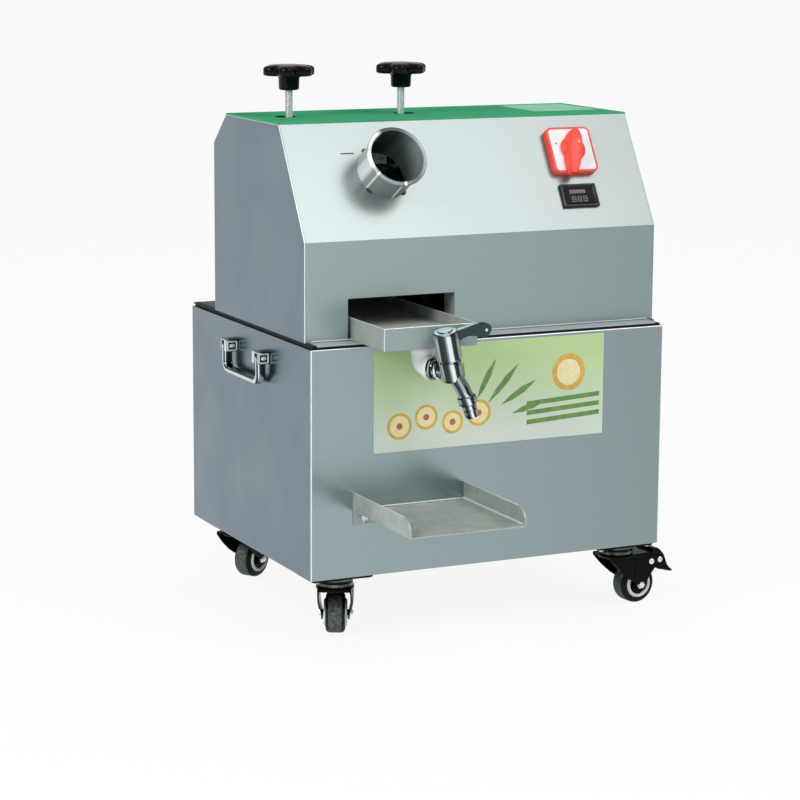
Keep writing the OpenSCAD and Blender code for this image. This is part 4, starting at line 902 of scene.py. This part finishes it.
# rubber tyre with a worn tread, white side rings and a dark hub
def makeWheel(name, hub):
    wheel = "caster_wheel_" + name
    bm = bmesh.new()
    tyre = ((17.5, 11.5), (18.2, 12.3), (20.5, 12.5), (22.6, 12.1), (24.4, 11), (25.5, 9.4), (25.9, 7.8))
    revolve(bm, mirrored(tyre), closed=True, steps=72, at=hub)
    closePiece("tyre_" + name, bm, "wheel_rubber", stands=wheel)
    bm = bmesh.new()
    revolve(bm, mirrored(((25.2, 9), (25.7, 8.8), (26, 7.2))), closed=True, steps=72, at=hub)
    closePiece("tread_" + name, bm, "wheel_rubber", rides=wheel, material=treadGrey)
    bm = bmesh.new()
    ring = ((13.4, 10.6), (13.8, 13.6), (15, 14.8), (16.6, 14.8), (17.9, 13.6), (18.5, 11.2))
    for s in (-1, 1):
        revolve(bm, [(r, h * s) for r, h in ring], closed=True, steps=64, at=hub)
    closePiece("wheelRing_" + name, bm, "wheel_rubber", rides=wheel, material=ringWhite)
    bm = bmesh.new()
    core = ((4.1, 15.2), (7.6, 15.2), (8.4, 14.4), (8.8, 12), (13.9, 11.4))
    revolve(bm, mirrored(core), closed=True, steps=48, at=hub)
    closePiece("wheelHub_" + name, bm, "caster_black", rides=wheel)


# a pressed crown and two bowed legs, each with a stamped ridge, and bright rivets and axle nuts
def makeFork(name, place, hub):
    fork, z = "caster_fork_" + name, caster["crownZ"]
    bm = bmesh.new()
    revolve(bm, [(0, z - 5), (22, z - 5), (23.4, z - 4.2), (24, z - 3), (24, z - 1.2), (23, z - 0.2), (20, z),
                 (6, z), (6, caster["pinTop"]), (0, caster["pinTop"])], at=place)
    prism(bm, mirrored(caster["crown"]), z - 4.4, z - 0.6, place)
    for s in (-1, 1):
        ridge = [Vector((mm(caster["ridgeU"]), mm(s * (legHalf(h) - 0.2)), mm(h))) for h in caster["ridge"]]
        sweep(bm, [place @ p for p in ridge], circle(1.5, 10), place.to_3x3() @ alongX)
    revolve(bm, mirrored(((0, 21), (3.9, 21))), steps=24, at=hub)
    closePiece("forkCrown_" + name, bm, "caster_black", stands=fork, angle=40)
    for s, word in ((-1, "near"), (1, "far")):
        bm = bmesh.new()
        bm.faces.new([bm.verts.new((mm(u), 0, mm(h))) for u, h in caster["leg"]])
        for h in caster["slices"]:
            bmesh.ops.bisect_plane(bm, geom=bm.verts[:] + bm.edges[:] + bm.faces[:], plane_co=(0, 0, mm(h)),
                                   plane_no=(0, 0, 1))
        for v in bm.verts:
            v.co.y = mm(s * legHalf(v.co.z * 1000))
        bmesh.ops.recalc_face_normals(bm, faces=bm.faces)
        bmesh.ops.solidify(bm, geom=bm.faces[:], thickness=mm(caster["sheet"]))
        bmesh.ops.transform(bm, matrix=place, verts=bm.verts)
        addRim(closePiece("forkLeg_" + name + "_" + word, bm, "caster_black", rides=fork, angle=40), 0.5)
    bm = bmesh.new()
    nut = ((0, 4.6), (2.2, 4.4), (2.4, 3.4), (4.2, 3.2), (4.6, 2.6), (4.6, 0.4), (5.8, 0.2), (5.8, -0.6), (0, -0.6))
    pedalZ, axleZ = caster["pedalZ"], caster["axleZ"]
    for s in (-1, 1):
        out = rotated(-90 * s, "X")
        dome(bm, 4.2, 1.9, place @ shift(caster["pedalU"], s * legHalf(pedalZ), pedalZ) @ out)
        revolve(bm, nut, steps=6, at=place @ shift(caster["trail"], s * legHalf(axleZ), axleZ) @ out)
    closePiece("forkRivets_" + name, bm, "zinc", rides=fork, angle=50)


def makeBrake(name, place):
    pedal, half = "brake_pedal_" + name, caster["pedalHalf"]
    bm = bmesh.new()
    prism(bm, caster["pedal"], -half, half, place @ shift(caster["pedalU"], 0, caster["pedalZ"]) @ rotated(90, "X"))
    addRim(closePiece("pedal_" + name, bm, "caster_black", stands=pedal, angle=40), 1.3, 3, 50)
    bm = bmesh.new()
    for s in (-1, 1):
        spot = shift(caster["rivetU"], s * (half - 0.1), caster["pedalZ"])
        dome(bm, 4.0, 1.6, place @ spot @ rotated(-90 * s, "X"))
    closePiece("pedalRivets_" + name, bm, "zinc", rides=pedal)


# the ball race shows between plate and crown, darkened with painted shade, and four bolts hold the plate
def makeMount(name, pivot):
    middle, top = above(pivot), caster["plateZ"]
    bm = bmesh.new()
    revolve(bm, [(15, 70.3), (21.6, 70.3), (22.6, 71.2), (22.6, 74.6), (20.6, 76), (20.6, 77.2), (23.2, 78.4),
                 (23.2, 81.2), (22.4, top), (15, top)], closed=True, at=middle)
    closePiece("ballRace_" + name, bm, "zinc", material=raceSteel)
    bm = bmesh.new()
    boltX, boltY = caster["bolts"]
    for x in (-boltX, boltX):
        for y in (-boltY, boltY):
            dome(bm, 4.6, 3, middle @ shift(x, y, top) @ rotated(180, "X"), foot=0.5)
    closePiece("plateBolts_" + name, bm, "zinc")


for name in ("fl", "fr", "bl", "br"):
    pivot, axle = jointAt("swivel_turn_" + name), jointAt("wheel_roll_" + name)
    trail = Vector((axle.x - pivot.x, axle.y - pivot.y, 0)).normalized()
    place = above(pivot) @ Matrix.Rotation(atan2(trail.y, trail.x), 4, "Z")
    hub = place @ shift(caster["trail"], 0, caster["axleZ"]) @ rotated(-90, "X")
    makeWheel(name, hub)
    makeFork(name, place, hub)
    makeBrake(name, place)
    makeMount(name, pivot)
print("casters made")

# return folds of the juice opening, seen just inside it
opening = {"left": -189.5, "right": -42.5, "low": 297, "high": 347, "front": 26, "back": 53, "thick": 1.2}


def makeReturns():
    bm = bmesh.new()
    for low in (opening["right"], opening["left"] - opening["thick"]):
        block(bm, (low, opening["front"], opening["low"]), (low + opening["thick"], opening["back"], opening["high"]),
              atFoot, edge=0.3)
    closePiece("openingReturns", bm, "tray_steel")


makeReturns()

# printed sheet on the cabinet front: a design of its own, with sliced rounds, leaves, bands and a sun, and no words
label = {"low": (-165, 155.5), "high": (161.5, 287), "thick": 0.25, "layer": 0.05, "sun": (112, 18, 24, 17),
         "rounds": ((-128, -34, 17), (-91, -25, 16), (-54, -34, 15), (-17, -25, 17)),
         "leaves": ((-20, -8, 58, 62), (-4, -14, 66, 48), (14, -18, 60, 30), (-44, -4, 46, 84), (30, -30, 52, 16)),
         "blade": ((0, 0), (0.3, 3.4), (0.62, 4.2), (1, 0), (0.62, -4.2), (0.3, -3.4)), "bands": (-46, -34, -22),
         "inks": (("gold", "#d9b552", "#c79a3f", 9), ("cream", "#efe3b4", "#e6d596", 5),
                  ("leaf", "#6f9a4e", "#54803c", 8), ("rust", "#c4713f", "#b05c34", 6))}


# printed vinyl: satin, and pale at the foot with a green that comes in cloudily above
def printedVinyl(middle):
    material, tree = startMaterial("printedVinyl", {"Roughness": 0.38, "IOR": 1.45})
    coords = objectCoords(tree)
    local = addNode(tree, "Mapping", {"Vector": coords, "Location": -middle}).outputs[0]
    wander = calc(tree, "MULTIPLY_ADD", noise(tree, coords, 24, 3.0), mm(34), split(tree, local)[2])
    return wire(material, {"Base Color": mixColor(tree, remap(tree, wander, mm(-35), mm(60)), "#d3ddd0", "#b6cf94")})


def makeLabel():
    (x0, z0), (x1, z1) = label["low"], label["high"]
    middle = cab((x0 + x1) / 2, 0, (z0 + z1) / 2)
    place = facing(middle, -alongY)
    bm = bmesh.new()
    prism(bm, roundedBox(x1 - x0, z1 - z0, 1.5, 2), 0, label["thick"], place)
    closePiece("labelSheet", bm, "switch_white", material=printedVinyl(middle))
    inks = {tone: mouldedFinish(tone + "Print", base, shade, 0.4, cloudMm=cloud, bump=0.0)
            for tone, base, shade, cloud in label["inks"]}

    def motif(name, shapes, tone, layer):
        bm = bmesh.new()
        for outline in shapes:
            prism(bm, outline, label["thick"], label["thick"] + label["layer"] * layer, place)
        closePiece("label" + name, bm, "switch_white", material=inks[tone])

    motif("Rims", [circle(r, 28, x, y) for x, y, r in label["rounds"]], "gold", 1)
    motif("Cores", [circle(r - 3.5, 28, x, y) for x, y, r in label["rounds"]], "cream", 2)
    motif("Rings", [circle(4.2, 16, x, y) for x, y, r in label["rounds"]], "rust", 3)
    blades = []
    for x, y, long, lean in label["leaves"]:
        c, s = cos(radians(lean)), sin(radians(lean))
        blades.append([(x + long * t * c - d * s, y + long * t * s + d * c) for t, d in label["blade"]])
    motif("Leaves", blades, "leaf", 1)
    x, y, outer, inner = label["sun"]
    motif("Sun", [circle(outer, 40, x, y)], "gold", 1)
    motif("SunCore", [circle(inner, 40, x, y)], "cream", 2)
    motif("Bands", [[(52, y), (158, y + 6), (158, y + 12), (52, y + 6)] for y in label["bands"]], "leaf", 2)


makeLabel()

# pale bare patch on the green cover
patch = {"x": (143, 236), "y": (158, 262), "thick": 0.2}


def makePatch():
    bm = bmesh.new()
    low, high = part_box("top_cover")
    (x0, x1), (y0, y1) = patch["x"], patch["y"]
    block(bm, (x0, y0, -0.1), (x1, y1, patch["thick"]), above(frontFoot, high.z))
    pale = mouldedFinish("palePatchVinyl", "#8ec8aa", "#a8d6bd", 0.4, cloudMm=20, gloss=0.0)
    closePiece("coverPatch", bm, "switch_white", material=pale)


makePatch()
print("label and patch made")

# floor and lights: the floor shows white to the eye and in reflections, and still takes the shadow
floorLook = {"color": "#f4f5f5", "span": 60, "glow": 0.9}
worldLook = {"color": "#e9edee", "strength": 0.62}
lamps = {"slopeBox": {"place": (1.5, -2.6, 3.2), "target": (0, 0, 0.55), "size": (2.8, 2.2), "power": 64},
         "leftBox": {"place": (-3.2, -1.0, 2.2), "target": (0, 0, 0.4), "size": (1.6, 1.2), "power": 62}}


def makeFloor():
    bm = bmesh.new()
    bmesh.ops.create_grid(bm, x_segments=1, y_segments=1, size=floorLook["span"])
    mesh = bpy.data.meshes.new("floor")
    bm.to_mesh(mesh)
    bm.free()
    material, tree = startMaterial("paleFloor", {"Base Color": linear(floorLook["color"]), "Roughness": 0.9,
                                                 "Specular IOR Level": 0.0})
    path = addNode(tree, "LightPath").outputs
    seen = calc(tree, "ADD", path["Is Camera Ray"], path["Is Glossy Ray"])
    seen = calc(tree, "ADD", seen, path["Is Transmission Ray"])
    share = calc(tree, "MULTIPLY", seen, floorLook["glow"], use_clamp=True)
    glow = addNode(tree, "Emission", {"Color": (1, 1, 1, 1), "Strength": 1.0})
    matt = tree.nodes["Principled BSDF"].outputs[0]
    blend = addNode(tree, "MixShader", {0: share, 1: matt, 2: glow.outputs[0]})
    tree.links.new(blend.outputs[0], tree.nodes["Material Output"].inputs["Surface"])
    mesh.materials.append(material)
    floor = bpy.data.objects.new("floor", mesh)
    scene.collection.objects.link(floor)


def makeWorld():
    scene.world = bpy.data.worlds.new("studio")
    scene.world.use_nodes = True
    background = scene.world.node_tree.nodes["Background"]
    background.inputs["Color"].default_value = linear(worldLook["color"])
    background.inputs["Strength"].default_value = worldLook["strength"]


def makeLamp(name, look):
    data = bpy.data.lights.new(name, "AREA")
    data.shape = "RECTANGLE"
    data.size, data.size_y = look["size"]
    data.energy = look["power"]
    lamp = bpy.data.objects.new(name, data)
    lamp.location = look["place"]
    lamp.rotation_euler = (Vector(look["target"]) - Vector(look["place"])).to_track_quat("-Z", "Y").to_euler()
    scene.collection.objects.link(lamp)


makeFloor()
makeWorld()
for name, look in lamps.items():
    makeLamp(name, look)
print("floor and lights made")
